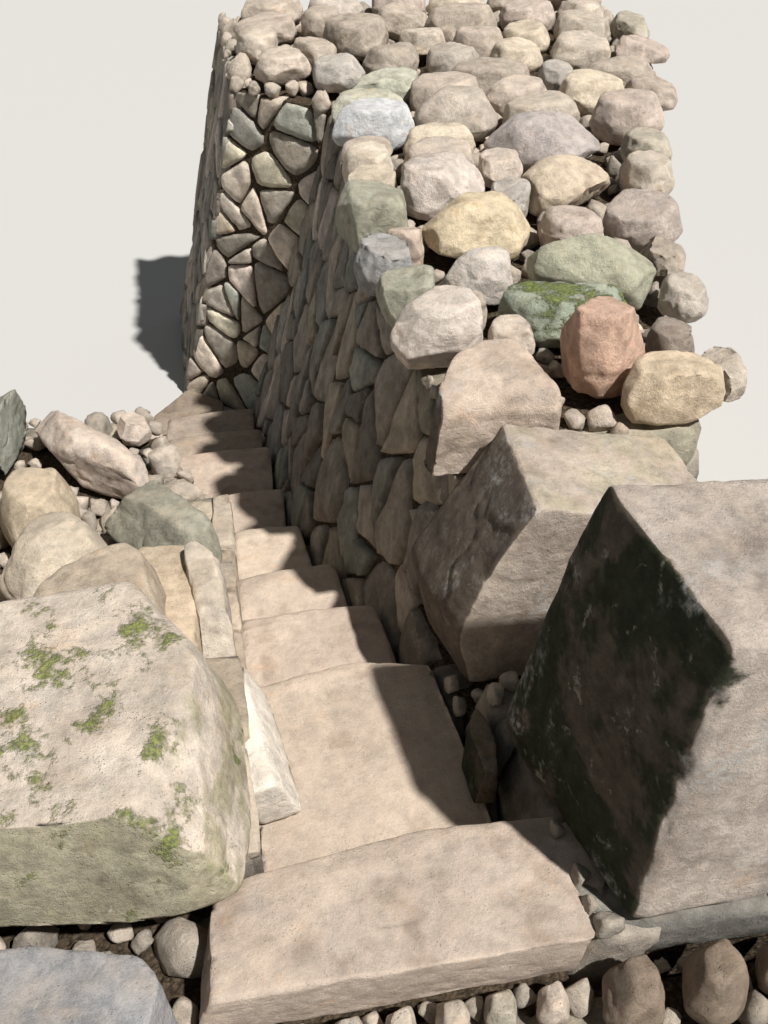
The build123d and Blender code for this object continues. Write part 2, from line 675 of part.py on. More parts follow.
# Inset from the face, distance past the bend, size across, size along, height, turn,
# crown share, and how far the crown lies off centre
COPING = {
    "coping_red_stones": [
        (560, -900, 340, 290, 320, 0, 0.62, -10, 0),
        (870, -800, 190, 210, 170, 0, 0.74, 0, 0),
    ],
    "coping_edge_near": [
        (90, -650, 370, 270, 250, 0, 0.74, 20, 20),
        (60, -380, 270, 300, 220, 0, 0.75, 0, 0),
        (45, -110, 250, 270, 210, 0, 0.78, 0, 20),
        (170, 100, 190, 190, 180, 0, 0.74, 0, 0),
        (60, 320, 330, 400, 250, 0, 0.75, 0, 0),
    ],
    "coping_edge_far": [
        (90, 640, 260, 270, 190, 0, 0.78, 0, 0),
        (100, 900, 270, 250, 210, 0, 0.74, 0, 0),
        (120, 1150, 260, 260, 150, 0, 0.78, 0, 0),
        (190, 1410, 420, 290, 230, 0, 0.75, 0, 0),
        (190, 1750, 420, 330, 160, 0, 0.8, 0, 0),
        (330, 2030, 420, 280, 180, 0, 0.8, 0, 0),
    ],
    "coping_middle_near": [
        (330, -690, 200, 200, 160, 0, 0.74, 0, 0),
        (590, -540, 520, 300, 190, 0, 0.8, 0, 20),
        (240, -450, 210, 210, 150, 0, 0.74, 0, 0),
        (400, -225, 310, 250, 210, 0, 0.5, 0, 0),
        (800, -290, 540, 380, 310, -15, 0.2, -90, 40),
        (470, 150, 500, 350, 240, 0, 0.5, 30, 20),
        (870, 110, 280, 280, 180, 0, 0.74, 0, 0),
        (400, 560, 430, 340, 250, 0, 0.74, -30, 20),
        (690, 470, 220, 260, 170, 0, 0.74, 0, 0),
        (950, 560, 500, 310, 220, 20, 0.5, 0, 20),
    ],
    "coping_middle_far": [
        (440, 900, 400, 290, 200, 0, 0.74, 0, 0),
        (720, 860, 240, 260, 150, 0, 0.74, 0, 0),
        (480, 1160, 360, 260, 180, 0, 0.74, 0, 0),
        (980, 1060, 570, 380, 250, -10, 0.5, -40, 20),
        (620, 1480, 460, 380, 250, 0, 0.55, 0, 20),
        (1050, 1450, 400, 330, 200, 0, 0.74, 0, 0),
        (620, 1860, 430, 330, 190, 0, 0.78, 0, 0),
        (1020, 1790, 380, 300, 180, 0, 0.74, 0, 0),
        (930, 2110, 520, 300, 180, 0, 0.74, 0, 0),
    ],
    "coping_bank": [
        (720, -1110, 380, 230, 210, 0, 0.74, 0, 0),
        (960, -1000, 180, 260, 140, 0, 0.74, 0, 0),
        (1080, -480, 190, 260, 150, 0, 0.74, 0, 0),
        (1190, 130, 340, 320, 210, 0, 0.74, 0, 0),
        (1150, -180, 200, 250, 150, 0, 0.74, 0, 0),
        (1370, 600, 260, 300, 190, 0, 0.74, 0, 0),
        (1480, 960, 250, 300, 160, 0, 0.74, 0, 0),
        (1480, 1290, 380, 300, 240, 0, 0.74, 0, 0),
        (1420, 1740, 400, 330, 200, 0, 0.74, 0, 0),
        (1760, 1730, 300, 330, 160, 0, 0.74, 0, 0),
        (1700, 2110, 420, 300, 150, 0, 0.74, 0, 0),
        (1310, 2090, 240, 280, 160, 0, 0.74, 0, 0),
    ],
    "coping_far_end": [
        (-240, 2560, 330, 380, 170, 0, 0.78, 0, 0),
        (-370, 2950, 260, 360, 180, 0, 0.78, 0, 0),
        (-300, 3330, 400, 380, 160, 0, 0.78, 0, 0),
        (-260, 3720, 440, 360, 170, 0, 0.78, 0, 0),
        (80, 2350, 320, 330, 180, 0, 0.78, 0, 0),
        (-30, 2700, 300, 330, 190, 0, 0.74, 0, 0),
        (240, 2900, 400, 440, 240, 0, 0.74, 0, 0),
        (60, 3300, 300, 300, 200, 0, 0.74, 0, 0),
        (160, 3660, 380, 380, 180, 0, 0.74, 0, 0),
        (400, 2480, 360, 340, 200, 0, 0.74, 0, 0),
        (760, 2440, 330, 320, 180, 0, 0.74, 0, 0),
        (560, 3290, 340, 320, 200, 0, 0.74, 0, 0),
        (600, 3680, 400, 360, 210, 0, 0.74, 0, 0),
        (640, 2840, 330, 320, 180, 0, 0.74, 0, 0),
        (970, 2720, 330, 290, 200, 0, 0.74, 0, 0),
        (920, 3060, 440, 330, 240, 0, 0.74, 0, 0),
        (980, 3530, 420, 420, 190, 0, 0.74, 0, 0),
        (1150, 2440, 320, 320, 190, 0, 0.74, 0, 0),
        (1300, 2850, 320, 380, 170, 0, 0.74, 0, 0),
        (1400, 3250, 360, 320, 200, 0, 0.74, 0, 0),
        (1440, 3660, 420, 380, 180, 0, 0.74, 0, 0),
        (1560, 2480, 400, 350, 190, 0, 0.74, 0, 0),
        (1680, 2880, 360, 400, 200, 0, 0.74, 0, 0),
        (1960, 2520, 350, 380, 150, 0, 0.74, 0, 0),
        (1780, 3300, 320, 380, 180, 0, 0.74, 0, 0),
        (1860, 3710, 380, 360, 160, 0, 0.74, 0, 0),
        (2030, 2980, 240, 420, 150, 0, 0.74, 0, 0),
    ],
}


def coping_place(stone):
    """Where a coping stone's centre lies."""
    inset, along = stone[:2]
    y = BEND_Y + along
    return face_x(y, WALL_TOP) + inset, y


def half_size(stone, bearing):
    """Half the reach of a coping stone in a given direction."""
    across, along, turn = stone[2] * COPING_REACH, stone[3] * COPING_REACH, stone[5]
    angle = bearing - radians(turn)
    return 1 / sqrt((2 * cos(angle) / across) ** 2 + (2 * sin(angle) / along) ** 2)


def neighbour_planes(stone, others):
    """Upright planes midway between a coping stone and each stone that it would run into."""
    x, y = coping_place(stone)
    planes = []
    for other in others:
        other_x, other_y = coping_place(other)
        distance = sqrt((other_x - x) ** 2 + (other_y - y) ** 2)
        bearing = atan2(other_y - y, other_x - x)
        own, theirs = half_size(stone, bearing), half_size(other, bearing)
        if distance and distance < (own + theirs) * (1 + 2 * UNEVENNESS) + STONE_GAP:
            reach = (distance - STONE_GAP) * own / (own + theirs)
            towards = (cos(bearing), sin(bearing))
            planes.append(Plane(
                origin=(x + towards[0] * reach, y + towards[1] * reach, WALL_TOP),
                z_dir=(-towards[0], -towards[1], 0),
            ))
    return planes


def coping(label, rows, everyone):
    """One node of coping stones, each trimmed back from its neighbours and the pocket."""
    pocket_side = Plane(origin=(POCKET_RIGHT_X + STONE_GAP, 0, 0), z_dir=(1, 0, 0))
    pocket_end = Plane(origin=(0, POCKET_FAR_Y + STONE_GAP, 0), z_dir=(0, 1, 0))
    wall_end = Plane(origin=(0, WALL_START_Y + STONE_GAP, 0), z_dir=(0, 1, 0))
    with BuildPart() as group:
        for stone in rows:
            x, y = coping_place(stone)
            _, _, across, along, height, turn, crown, peak_x, peak_y = stone
            outline = rough_outline(x, y, across * COPING_REACH, along * COPING_REACH, turn)
            with BuildPart(mode=Mode.PRIVATE) as single:
                rough_stone(outline, WALL_TOP, height, crown, (peak_x, peak_y))
                trim(*neighbour_planes(stone, everyone))
                trim(pocket_end if y > POCKET_FAR_Y else pocket_side, wall_end)
            add(single.part)
    write(group, label)


ALL_COPING = [stone for rows in COPING.values() for stone in rows]
for coping_label, coping_rows in COPING.items():
    coping(coping_label, coping_rows, ALL_COPING)
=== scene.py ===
import math

import bpy
import numpy as np
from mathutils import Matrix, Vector


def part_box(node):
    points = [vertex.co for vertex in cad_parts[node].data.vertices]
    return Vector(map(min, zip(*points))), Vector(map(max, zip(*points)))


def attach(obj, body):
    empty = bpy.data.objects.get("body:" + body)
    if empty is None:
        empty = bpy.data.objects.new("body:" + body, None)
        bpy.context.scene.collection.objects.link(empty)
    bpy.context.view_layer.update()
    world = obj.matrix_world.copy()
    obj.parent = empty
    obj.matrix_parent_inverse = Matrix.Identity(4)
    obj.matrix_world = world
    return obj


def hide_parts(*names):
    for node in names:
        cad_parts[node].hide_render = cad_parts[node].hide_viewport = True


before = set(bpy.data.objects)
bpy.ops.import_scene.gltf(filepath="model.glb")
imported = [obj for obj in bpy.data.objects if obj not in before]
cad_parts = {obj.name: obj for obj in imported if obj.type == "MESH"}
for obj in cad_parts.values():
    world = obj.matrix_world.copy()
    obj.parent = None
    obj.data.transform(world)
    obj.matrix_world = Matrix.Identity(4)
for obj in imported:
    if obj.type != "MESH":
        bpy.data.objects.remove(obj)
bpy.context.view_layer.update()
scene = bpy.context.scene

# Stones are rounded forms of the CAD solids: each is the soft meeting of the solid's face
# planes, with small random planes that chip its edges, and rough noise worn into it.


# Numbers and noise

LIGHT = 1.36  # how much brighter than it is written a surface shows in the full key light
GRID_PRIMES = (374761393, 668265263, 1440662683, 974634777)
MIX_PRIMES = (1274126177, 2246822519)
WORD = 0xFFFFFFFF
OCTAVE_SHIFT, OCTAVE_FALL, NOISE_GAIN = 17.3, 0.55, 1.6


def lin(red, green, blue):
    """An sRGB colour, 0 to 255, as the linear colour that shaders use."""
    return tuple(((c / 255 + 0.055) / 1.055) ** 2.4 if c > 10 else c / 255 / 12.92
                 for c in (red, green, blue))


def lit(red, green, blue):
    """The colour of a stone surface that shows as this, 0 to 255, in the full key light."""
    return tuple(c / LIGHT for c in lin(red, green, blue))


def cell_random(ix, iy, iz, seed):
    """A repeatable random number from 0 to 1 for each cell of a grid."""
    n = sum(value * prime for value, prime in zip((ix, iy, iz, seed), GRID_PRIMES)) & WORD
    n = ((n ^ (n >> 13)) * MIX_PRIMES[0]) & WORD
    n = ((n ^ (n >> 15)) * MIX_PRIMES[1]) & WORD
    return ((n ^ (n >> 16)) & 0xFFFFFF) / 0xFFFFFF


def noise(points, seed):
    """Smooth noise from -1 to 1."""
    cell = np.floor(points).astype(np.int64)
    part = points - cell
    w = part * part * part * (part * (part * 6 - 15) + 10)
    total = 0
    for dx in (0, 1):
        wx = w[:, 0] if dx else 1 - w[:, 0]
        for dy in (0, 1):
            wy = w[:, 1] if dy else 1 - w[:, 1]
            for dz in (0, 1):
                wz = w[:, 2] if dz else 1 - w[:, 2]
                value = cell_random(cell[:, 0] + dx, cell[:, 1] + dy, cell[:, 2] + dz, seed)
                total = total + wx * wy * wz * value
    return total * 2 - 1


def fractal(points, size, octaves, seed):
    """Noise whose largest lumps have about the given size in metres."""
    total, weight, reach = 0, 1.0, 0
    for octave in range(octaves):
        place = points / size * 2 ** octave + OCTAVE_SHIFT * octave
        total = total + weight * noise(place, seed + octave)
        reach += weight
        weight *= OCTAVE_FALL
    return total / reach * NOISE_GAIN


# Sphere grids

GRIDS = {}


def sphere_grid(frequency):
    """Unit directions and triangles of an icosahedron whose edges are split in this many parts."""
    if frequency in GRIDS:
        return GRIDS[frequency]
    g = (1 + 5 ** 0.5) / 2
    corners = np.array([
        (-1, g, 0), (1, g, 0), (-1, -g, 0), (1, -g, 0), (0, -1, g), (0, 1, g),
        (0, -1, -g), (0, 1, -g), (g, 0, -1), (g, 0, 1), (-g, 0, -1), (-g, 0, 1),
    ])
    faces = [
        (0, 11, 5), (0, 5, 1), (0, 1, 7), (0, 7, 10), (0, 10, 11),
        (1, 5, 9), (5, 11, 4), (11, 10, 2), (10, 7, 6), (7, 1, 8),
        (3, 9, 4), (3, 4, 2), (3, 2, 6), (3, 6, 8), (3, 8, 9), (4, 9, 5),
        (2, 4, 11), (6, 2, 10), (8, 6, 7), (9, 8, 1),
    ]
    points, triangles = [], []
    for a, b, c in faces:
        index = {}
        for i in range(frequency + 1):
            for j in range(frequency + 1 - i):
                index[i, j] = len(points)
                k = frequency - i - j
                points.append((corners[a] * k + corners[b] * i + corners[c] * j) / frequency)
        for i in range(frequency):
            for j in range(frequency - i):
                triangles.append((index[i, j], index[i + 1, j], index[i, j + 1]))
                if i + j < frequency - 1:
                    triangles.append((index[i + 1, j], index[i + 1, j + 1], index[i, j + 1]))
    points = np.array(points)
    points, inverse = np.unique(np.round(points, 6), axis=0, return_inverse=True)
    points /= np.linalg.norm(points, axis=1)[:, None]
    GRIDS[frequency] = points, inverse.reshape(-1)[np.array(triangles)]
    return GRIDS[frequency]


# The CAD solids as planes

ON_FACE = 0.003  # a corner this near to a plane lies on it
SAME_WAY, SAME_OFFSET = 0.995, 0.004  # triangles that agree this well share a plane


def node_triangles(node):
    """Corner points, triangles, and triangle normals of a CAD node, in metres."""
    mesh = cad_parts[node].data
    mesh.calc_loop_triangles()
    points = np.array([v.co[:] for v in mesh.vertices])
    triangles = np.array([t.vertices[:] for t in mesh.loop_triangles])
    points, inverse = np.unique(np.round(points, 5), axis=0, return_inverse=True)
    triangles = inverse.reshape(-1)[triangles]
    a, b, c = points[triangles[:, 0]], points[triangles[:, 1]], points[triangles[:, 2]]
    normals = np.cross(b - a, c - a)
    return points, triangles, normals


def plane_set(points, triangles, normals):
    """The distinct planes of some triangles, as outward normals and offsets, largest first."""
    areas = np.linalg.norm(normals, axis=1)
    found, offsets, sizes = [], [], []
    for t in np.argsort(-areas):
        if areas[t] < 1e-9:
            continue
        n = normals[t] / areas[t]
        offset = n @ points[triangles[t, 0]]
        for k in range(len(found)):
            if found[k] @ n > SAME_WAY and abs(offsets[k] - offset) < SAME_OFFSET:
                sizes[k] += areas[t] / 2
                break
        else:
            found.append(n)
            offsets.append(offset)
            sizes.append(areas[t] / 2)
    return np.array(found), np.array(offsets), np.array(sizes)


def solids_of(node):
    """The separate solids of a CAD node, each as its planes and its corner points."""
    points, triangles, normals = node_triangles(node)
    label = np.arange(len(points))
    while True:
        low = label[triangles].min(axis=1)
        new = label.copy()
        for column in range(3):
            np.minimum.at(new, triangles[:, column], low)
        if (new == label).all():
            break
        label = new
    solids = []
    for part in np.unique(label[triangles[:, 0]]):
        mine = label[triangles[:, 0]] == part
        n, h, _ = plane_set(points, triangles[mine], normals[mine])
        solids.append((n, h, points[np.unique(triangles[mine])]))
    return solids


# Building stones

FLUSH = 0.97  # faces whose normals agree more than this have no edge to chip
OCTAVES_WORN, OCTAVES_COARSE, OCTAVES_CREASE = 5, 2, 3
COARSE_SIZE, CREASE_SIZE = 3.0, 1.6  # times the size of the worn lumps


class Pile:
    """Stones gathered for one piece, with the values of each corner that the materials read."""

    def __init__(self):
        self.points, self.triangles, self.count = [], [], 0
        self.data = {"tone": [], "edge": [], "hollow": [], "shift": [], "moss": [], "lichen": []}

    def add(self, points, triangles, edge, hollow, look, rng):
        n = len(points)
        self.points.append(points)
        self.triangles.append(triangles + self.count)
        self.count += n
        tone = np.array(look["tone"]) * rng.uniform(*look.get("spread", (0.92, 1.08)))
        self.data["tone"].append(np.tile(np.append(tone, 1.0), (n, 1)))
        self.data["edge"].append(edge)
        self.data["hollow"].append(hollow)
        self.data["shift"].append(np.tile(rng.uniform(-40, 40, 3), (n, 1)))
        self.data["moss"].append(np.full(n, look.get("moss", 0.0)))
        self.data["lichen"].append(np.full(n, look.get("lichen", 0.15)))


def soft_form(normals, offsets, centre, directions, power):
    """Where rays from the centre meet the rounded meeting of the planes, with normals and edges."""
    h = offsets - normals @ centre
    t = np.maximum(directions @ normals.T, 1e-6) / h
    nearest = t.max(axis=1)
    strength = (t / nearest[:, None]) ** power
    total = strength.sum(axis=1)
    points = centre + directions * (total ** (-1 / power) / nearest)[:, None]
    pull = (strength / t / h) @ normals
    pull /= np.linalg.norm(pull, axis=1)[:, None]
    return points, pull, 1 - 1 / total


def uneven_faces(normals, offsets, corners, count, tilt, rng):
    """Planes that tilt a little from each face and cut into it, as a split face is never flat."""
    made_n, made_h = [], []
    for n, h in zip(normals, offsets):
        on = corners[np.abs(corners @ n - h) < ON_FACE]
        if len(on) < 3:
            continue
        for _ in range(count):
            share = rng.dirichlet(np.ones(len(on)) * 0.8)
            m = n + tilt * rng.normal(size=3)
            m /= np.linalg.norm(m)
            made_n.append(m)
            made_h.append(m @ (share @ on) - rng.uniform(0.0, 0.004))
    return made_n, made_h


def chipped_edges(normals, offsets, corners, count, depth, rng):
    """Planes that knock the edges between faces back by up to the given depth."""
    made_n, made_h = [], []
    touch = np.abs(corners @ normals.T - offsets) < ON_FACE
    for i in range(len(normals)):
        for j in range(i + 1, len(normals)):
            on = corners[touch[:, i] & touch[:, j]]
            if len(on) < 2 or normals[i] @ normals[j] > FLUSH:
                continue
            edge = on[-1] - on[0]
            length = np.linalg.norm(edge)
            if length < 4 * depth:
                continue
            for _ in range(count):
                place = rng.uniform()
                m = normals[i] * rng.uniform(0.5, 1.5) + normals[j] * rng.uniform(0.5, 1.5)
                along = edge / length * (2 * place - 1)
                m = m / np.linalg.norm(m) + along * rng.uniform(0.5, 2.0) * depth / length
                m /= np.linalg.norm(m)
                made_n.append(m)
                made_h.append(m @ (on[0] + edge * place) - rng.uniform(0.2, 1.0) * depth)
    return made_n, made_h


def stone(pile, normals, offsets, corners, rng, look, *, frequency, power, rough, lump, chips=0,
          chip=(1.0, 1.0), faces=(0, 0.0), edges=(0, 0.0), centre=None):
    """Add one stone, made from the planes of a convex solid, and never larger than it.

    Frequency is how finely it is meshed, and a higher power gives sharper edges. Rough is the
    depth and lump the size of the wear, chips the number of random planes and chip their reach,
    faces the number and tilt of the planes that make a face uneven, and edges the number and
    depth of the knocks along an edge.
    """
    if centre is None:
        centre = (corners.max(axis=0) + corners.min(axis=0)) / 2
        if (offsets - normals @ centre).min() < 0.004:
            centre = corners.mean(axis=0)
    spread = (corners.max(axis=0) - corners.min(axis=0)) / 2
    solid_n, solid_h = normals, offsets
    for made_n, made_h in (uneven_faces(solid_n, solid_h, corners, *faces, rng),
                           chipped_edges(solid_n, solid_h, corners, *edges, rng)):
        if made_n:
            normals = np.vstack([normals, made_n])
            offsets = np.append(offsets, made_h)
    keep = offsets - normals @ centre > 0.35 * (solid_h - solid_n @ centre).min()
    normals, offsets = normals[keep], offsets[keep]
    if chips:
        m = rng.normal(size=(chips, 3))
        m /= np.linalg.norm(m, axis=1)[:, None]
        reach = ((corners - centre) @ m.T).max(axis=0)
        normals = np.vstack([normals, m])
        offsets = np.append(offsets, m @ centre + reach * rng.uniform(*chip, chips))
    directions, triangles = sphere_grid(frequency)
    directions = directions * np.maximum(spread, 0.25 * spread.max())
    directions = directions / np.linalg.norm(directions, axis=1)[:, None]
    points, pull, edge = soft_form(normals, offsets, centre, directions, power)
    seed = int(rng.integers(1 << 30))
    worn = fractal(points, lump, OCTAVES_WORN, seed)
    coarse = fractal(points, lump * COARSE_SIZE, OCTAVES_COARSE, seed + 9)
    crease = 1 - np.abs(fractal(points, lump * CREASE_SIZE, OCTAVES_CREASE, seed + 21)) * 2
    depth = rough * (0.5 + 0.5 * worn) + rough * 0.8 * np.clip(coarse, 0, 1)
    depth = depth + rough * 0.7 * np.clip(crease, 0, 1) ** 3
    points = points - pull * np.clip(depth, 0, None)[:, None]
    pile.add(points, triangles, edge, np.clip(worn * 0.5 + 0.5, 0, 1), look, rng)


def piece(name, pile, material, nodes=()):
    """Make one object of a pile of stones, which rides on the root body."""
    points = np.concatenate(pile.points)
    triangles = np.concatenate(pile.triangles)
    mesh = bpy.data.meshes.new(name)
    mesh.vertices.add(len(points))
    mesh.vertices.foreach_set("co", points.astype(np.float32).ravel())
    mesh.loops.add(triangles.size)
    mesh.loops.foreach_set("vertex_index", triangles.astype(np.int32).ravel())
    mesh.polygons.add(len(triangles))
    mesh.polygons.foreach_set("loop_start", np.arange(0, triangles.size, 3, dtype=np.int32))
    mesh.polygons.foreach_set("use_smooth", np.ones(len(triangles), dtype=bool))
    mesh.update(calc_edges=True)
    kinds = {"tone": ("FLOAT_COLOR", "color"), "shift": ("FLOAT_VECTOR", "vector")}
    for key, values in pile.data.items():
        kind, field = kinds.get(key, ("FLOAT", "value"))
        layer = mesh.attributes.new(key, kind, "POINT")
        layer.data.foreach_set(field, np.concatenate(values).astype(np.float32).ravel())
    mesh.materials.append(material)
    made = bpy.data.objects.new(name, mesh)
    scene.collection.objects.link(made)
    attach(made, "root")
    if nodes:
        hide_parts(*nodes)


# Materials

class Shader:
    """A small helper that lays down shader nodes."""

    def __init__(self, name):
        self.material = bpy.data.materials.new(name)
        self.material.use_nodes = True
        self.tree = self.material.node_tree
        self.tree.nodes.clear()
        out = self.node("OutputMaterial")
        self.bsdf = self.node("BsdfPrincipled")
        self.tree.links.new(self.bsdf.outputs[0], out.inputs[0])

    def put(self, socket, value):
        """Give a socket a value, or link it to another socket."""
        if isinstance(value, bpy.types.NodeSocket):
            self.tree.links.new(value, socket)
        else:
            socket.default_value = value

    def node(self, kind, *values):
        """Lay down a node whose first inputs have these values or links."""
        made = self.tree.nodes.new("ShaderNode" + kind)
        for socket, value in zip(made.inputs, values):
            self.put(socket, value)
        return made

    def attribute(self, name, output="Fac"):
        node = self.node("Attribute")
        node.attribute_name = name
        return node.outputs[output]

    def math(self, kind, a, b=0.0, clamp=False):
        node = self.node("Math", a, b)
        node.operation = kind
        node.use_clamp = clamp
        return node.outputs[0]

    def noise(self, vector, scale, detail=5.0, rough=0.6, distortion=0.0):
        node = self.node("TexNoise", vector)
        node.inputs["Scale"].default_value = scale
        node.inputs["Detail"].default_value = detail
        node.inputs["Roughness"].default_value = rough
        node.inputs["Distortion"].default_value = distortion
        return node.outputs["Fac"]

    def voronoi(self, vector, scale):
        node = self.node("TexVoronoi", vector)
        node.inputs["Scale"].default_value = scale
        return node.outputs["Distance"]

    def span(self, value, low, high, to_low=0.0, to_high=1.0):
        """Carry a range of values smoothly over to another range."""
        node = self.node("MapRange", value, low, high, to_low, to_high)
        node.interpolation_type = "SMOOTHSTEP"
        return node.outputs[0]

    def mix(self, share, a, b, kind="MIX"):
        node = self.node("Mix")
        node.data_type = "RGBA"
        node.blend_type = kind
        self.put(node.inputs[0], share)
        self.put(node.inputs[6], a if isinstance(a, bpy.types.NodeSocket) else (*a, 1.0))
        self.put(node.inputs[7], b if isinstance(b, bpy.types.NodeSocket) else (*b, 1.0))
        return node.outputs[2]

    def grey(self, value):
        return self.node("CombineColor", value, value, value).outputs[0]

    def relief(self, height, strength):
        node = self.node("Bump")
        node.inputs["Strength"].default_value = strength
        node.inputs["Distance"].default_value = BUMP_DISTANCE
        self.put(node.inputs["Height"], height)
        self.put(self.bsdf.inputs["Normal"], node.outputs[0])


MOSS_DARK = lin(66, 78, 30)
MOSS_LIGHT = lin(140, 150, 62)
LICHEN = lin(190, 186, 172)
DUST = lin(190, 168, 146)
CHALK = lin(186, 186, 184)
WARM, COOL = (1.12, 0.88, 0.66), (0.86, 0.94, 1.04)  # tints that multiply the stone's own tone
PIT_TINT, HOLLOW_TINT, EDGE_TINT = (0.42, 0.38, 0.34), (0.58, 0.54, 0.5), (1.3, 1.28, 1.24)
MEDIUM_SCALE, FINE_SCALE, PIT_SCALE = 22.0, 300.0, 115.0
STAIN_AND_SHADE_SCALE, CHALK_SCALE, MOSS_SCALE, MOSS_GRAIN = 3.2, 3.6, 6.5, 90.0
BUMP_DISTANCE = 0.02
STONE_SPECULAR, EARTH_SPECULAR = 0.22, 0.15


def stone_material(name, mottle=5.0, contrast=0.3, dust=0.25, pits=0.5, streaks=0.0, bump=1.0,
                   stains_and_painted_shade=(), grain=1.0):
    """Rough stone: mottled, grainy, pitted, worn pale on its edges, with moss, lichen and dust.

    Each stain colours the sides that face one way: some are moss and weathering, and some
    are painted shade on sides turned from the key light. A stain gives its direction, colour,
    strength and how patchy it is.
    """
    s = Shader(name)
    coords = s.node("TexCoord").outputs["Object"]
    place = s.node("VectorMath", coords, s.attribute("shift", "Vector")).outputs[0]
    normal = s.node("NewGeometry").outputs["Normal"]
    up = s.node("SeparateXYZ", normal).outputs[2]
    tone = s.attribute("tone", "Color")
    broad = s.noise(place, mottle, 6.0, 0.6)
    medium = s.noise(place, MEDIUM_SCALE, 9.0, 0.74)
    fine = s.noise(place, FINE_SCALE, 4.0, 0.65)
    for grains, low, high, darkest, palest in (
        (broad, 0.3, 0.7, 1 - contrast, 1 + contrast * 0.7),
        (medium, 0.32, 0.68, 1 - 0.22 * grain, 1 + 0.16 * grain),
        (fine, 0.3, 0.7, 0.84, 1.12),
    ):
        tone = s.mix(1.0, tone, s.grey(s.span(grains, low, high, darkest, palest)), "MULTIPLY")
    rust = s.span(s.noise(place, 9.0, 5.0, 0.65, 0.6), 0.56, 0.72, 0.0, 0.35)
    colour = s.mix(rust, tone, s.mix(1.0, tone, WARM, "MULTIPLY"))
    cool = s.span(s.noise(place, 6.0, 4.0, 0.6, 0.3), 0.55, 0.75, 0.0, 0.3)
    colour = s.mix(cool, colour, s.mix(1.0, colour, COOL, "MULTIPLY"))
    hole = s.span(s.voronoi(place, PIT_SCALE), 0.05, 0.3, 1.0, 0.0)
    hole = s.math("MULTIPLY", hole, s.span(s.noise(place, 21.0, 3.0), 0.5, 0.66, 0.0, pits))
    colour = s.mix(hole, colour, s.mix(1.0, colour, PIT_TINT, "MULTIPLY"))
    # Stains: moss and weathering, and painted shade on the sides that face away from the key light
    for towards, tint, strength, patchy in stains_and_painted_shade:
        side = s.node("VectorMath", normal, towards)
        side.operation = "DOT_PRODUCT"
        patches = s.math("SUBTRACT", s.noise(place, STAIN_AND_SHADE_SCALE, 6.0, 0.62, 0.3), 0.5)
        ragged = s.math("ADD", side.outputs["Value"], s.math("MULTIPLY", patches, patchy))
        stain_and_shade_share = s.span(ragged, 0.4, 0.62, 0.0, strength)
        speckled = s.mix(1.0, s.grey(s.span(medium, 0.34, 0.66, 0.72, 1.3)), tint, "MULTIPLY")
        colour = s.mix(stain_and_shade_share, colour, speckled)
    if streaks:
        chalk = s.span(s.noise(place, CHALK_SCALE, 5.0, 0.6, 0.5), 0.53, 0.66)
        marks = s.span(s.noise(place, 38.0, 8.0, 0.75), 0.42, 0.66, 0.0, streaks)
        colour = s.mix(s.math("MULTIPLY", chalk, marks), colour, CHALK)
    colour = s.mix(s.span(s.attribute("edge"), 0.25, 0.62, 0.0, 0.35), colour,
                   s.mix(1.0, colour, EDGE_TINT, "MULTIPLY"))
    colour = s.mix(s.span(s.attribute("hollow"), 0.58, 0.9, 0.0, 0.5), colour,
                   s.mix(1.0, colour, HOLLOW_TINT, "MULTIPLY"))
    dusty = s.span(s.noise(place, 11.0, 5.0), 0.35, 0.7, 0.0, dust)
    colour = s.mix(s.math("MULTIPLY", s.span(up, 0.55, 0.95), dusty), colour, DUST)
    patch = s.noise(place, 13.0, 6.0, 0.7, 0.4)
    lichen = s.math("MULTIPLY", s.span(patch, 0.6, 0.68), s.attribute("lichen"), True)
    colour = s.mix(lichen, colour, LICHEN)
    growth = s.math("ADD", s.noise(place, MOSS_SCALE, 7.0, 0.74), s.math("MULTIPLY", up, 0.08))
    limit = s.math("SUBTRACT", 0.86, s.math("MULTIPLY", s.attribute("moss"), 0.42))
    moss = s.math("MULTIPLY", s.math("SUBTRACT", growth, limit), 14.0, True)
    moss = s.math("MULTIPLY", moss, s.span(s.attribute("moss"), 0.0, 0.1), True)
    green = s.mix(s.span(s.noise(place, MOSS_GRAIN, 4.0), 0.35, 0.7), MOSS_DARK, MOSS_LIGHT)
    colour = s.mix(s.math("MULTIPLY", moss, 0.85), colour, green)
    s.put(s.bsdf.inputs["Base Color"], colour)
    s.put(s.bsdf.inputs["Roughness"], s.span(medium, 0.3, 0.7, 0.95, 0.8))
    s.bsdf.inputs["Specular IOR Level"].default_value = STONE_SPECULAR
    height = s.math("ADD", medium, s.math("MULTIPLY", fine, 0.1))
    height = s.math("SUBTRACT", height, s.math("MULTIPLY", hole, 0.5))
    height = s.math("ADD", height, s.math("MULTIPLY", moss, 0.6))
    s.relief(height, 0.8 * bump)
    return s.material


GREEN_FRONT = ((0.0, -1.0, 0.0), lit(150, 147, 116), 0.7, 0.5)
GREEN_BEVEL = ((0.52, -0.1, 0.05), lit(164, 160, 118), 0.55, 2.6)
# Painted shade: the sides of the tall boulder that face away from the key light are darkened in their
# colour, partly as dark moss and weathering and partly as painted shade
DARK_SIDE_AND_PAINTED_SHADE = ((-1.0, 0.1, 0.0), lin(68, 61, 50), 0.95, 0.4)
DARK_MOSS_AND_PAINTED_SHADE = ((-0.55, 0.05, 0.0), lin(34, 41, 23), 0.95, 2.8)
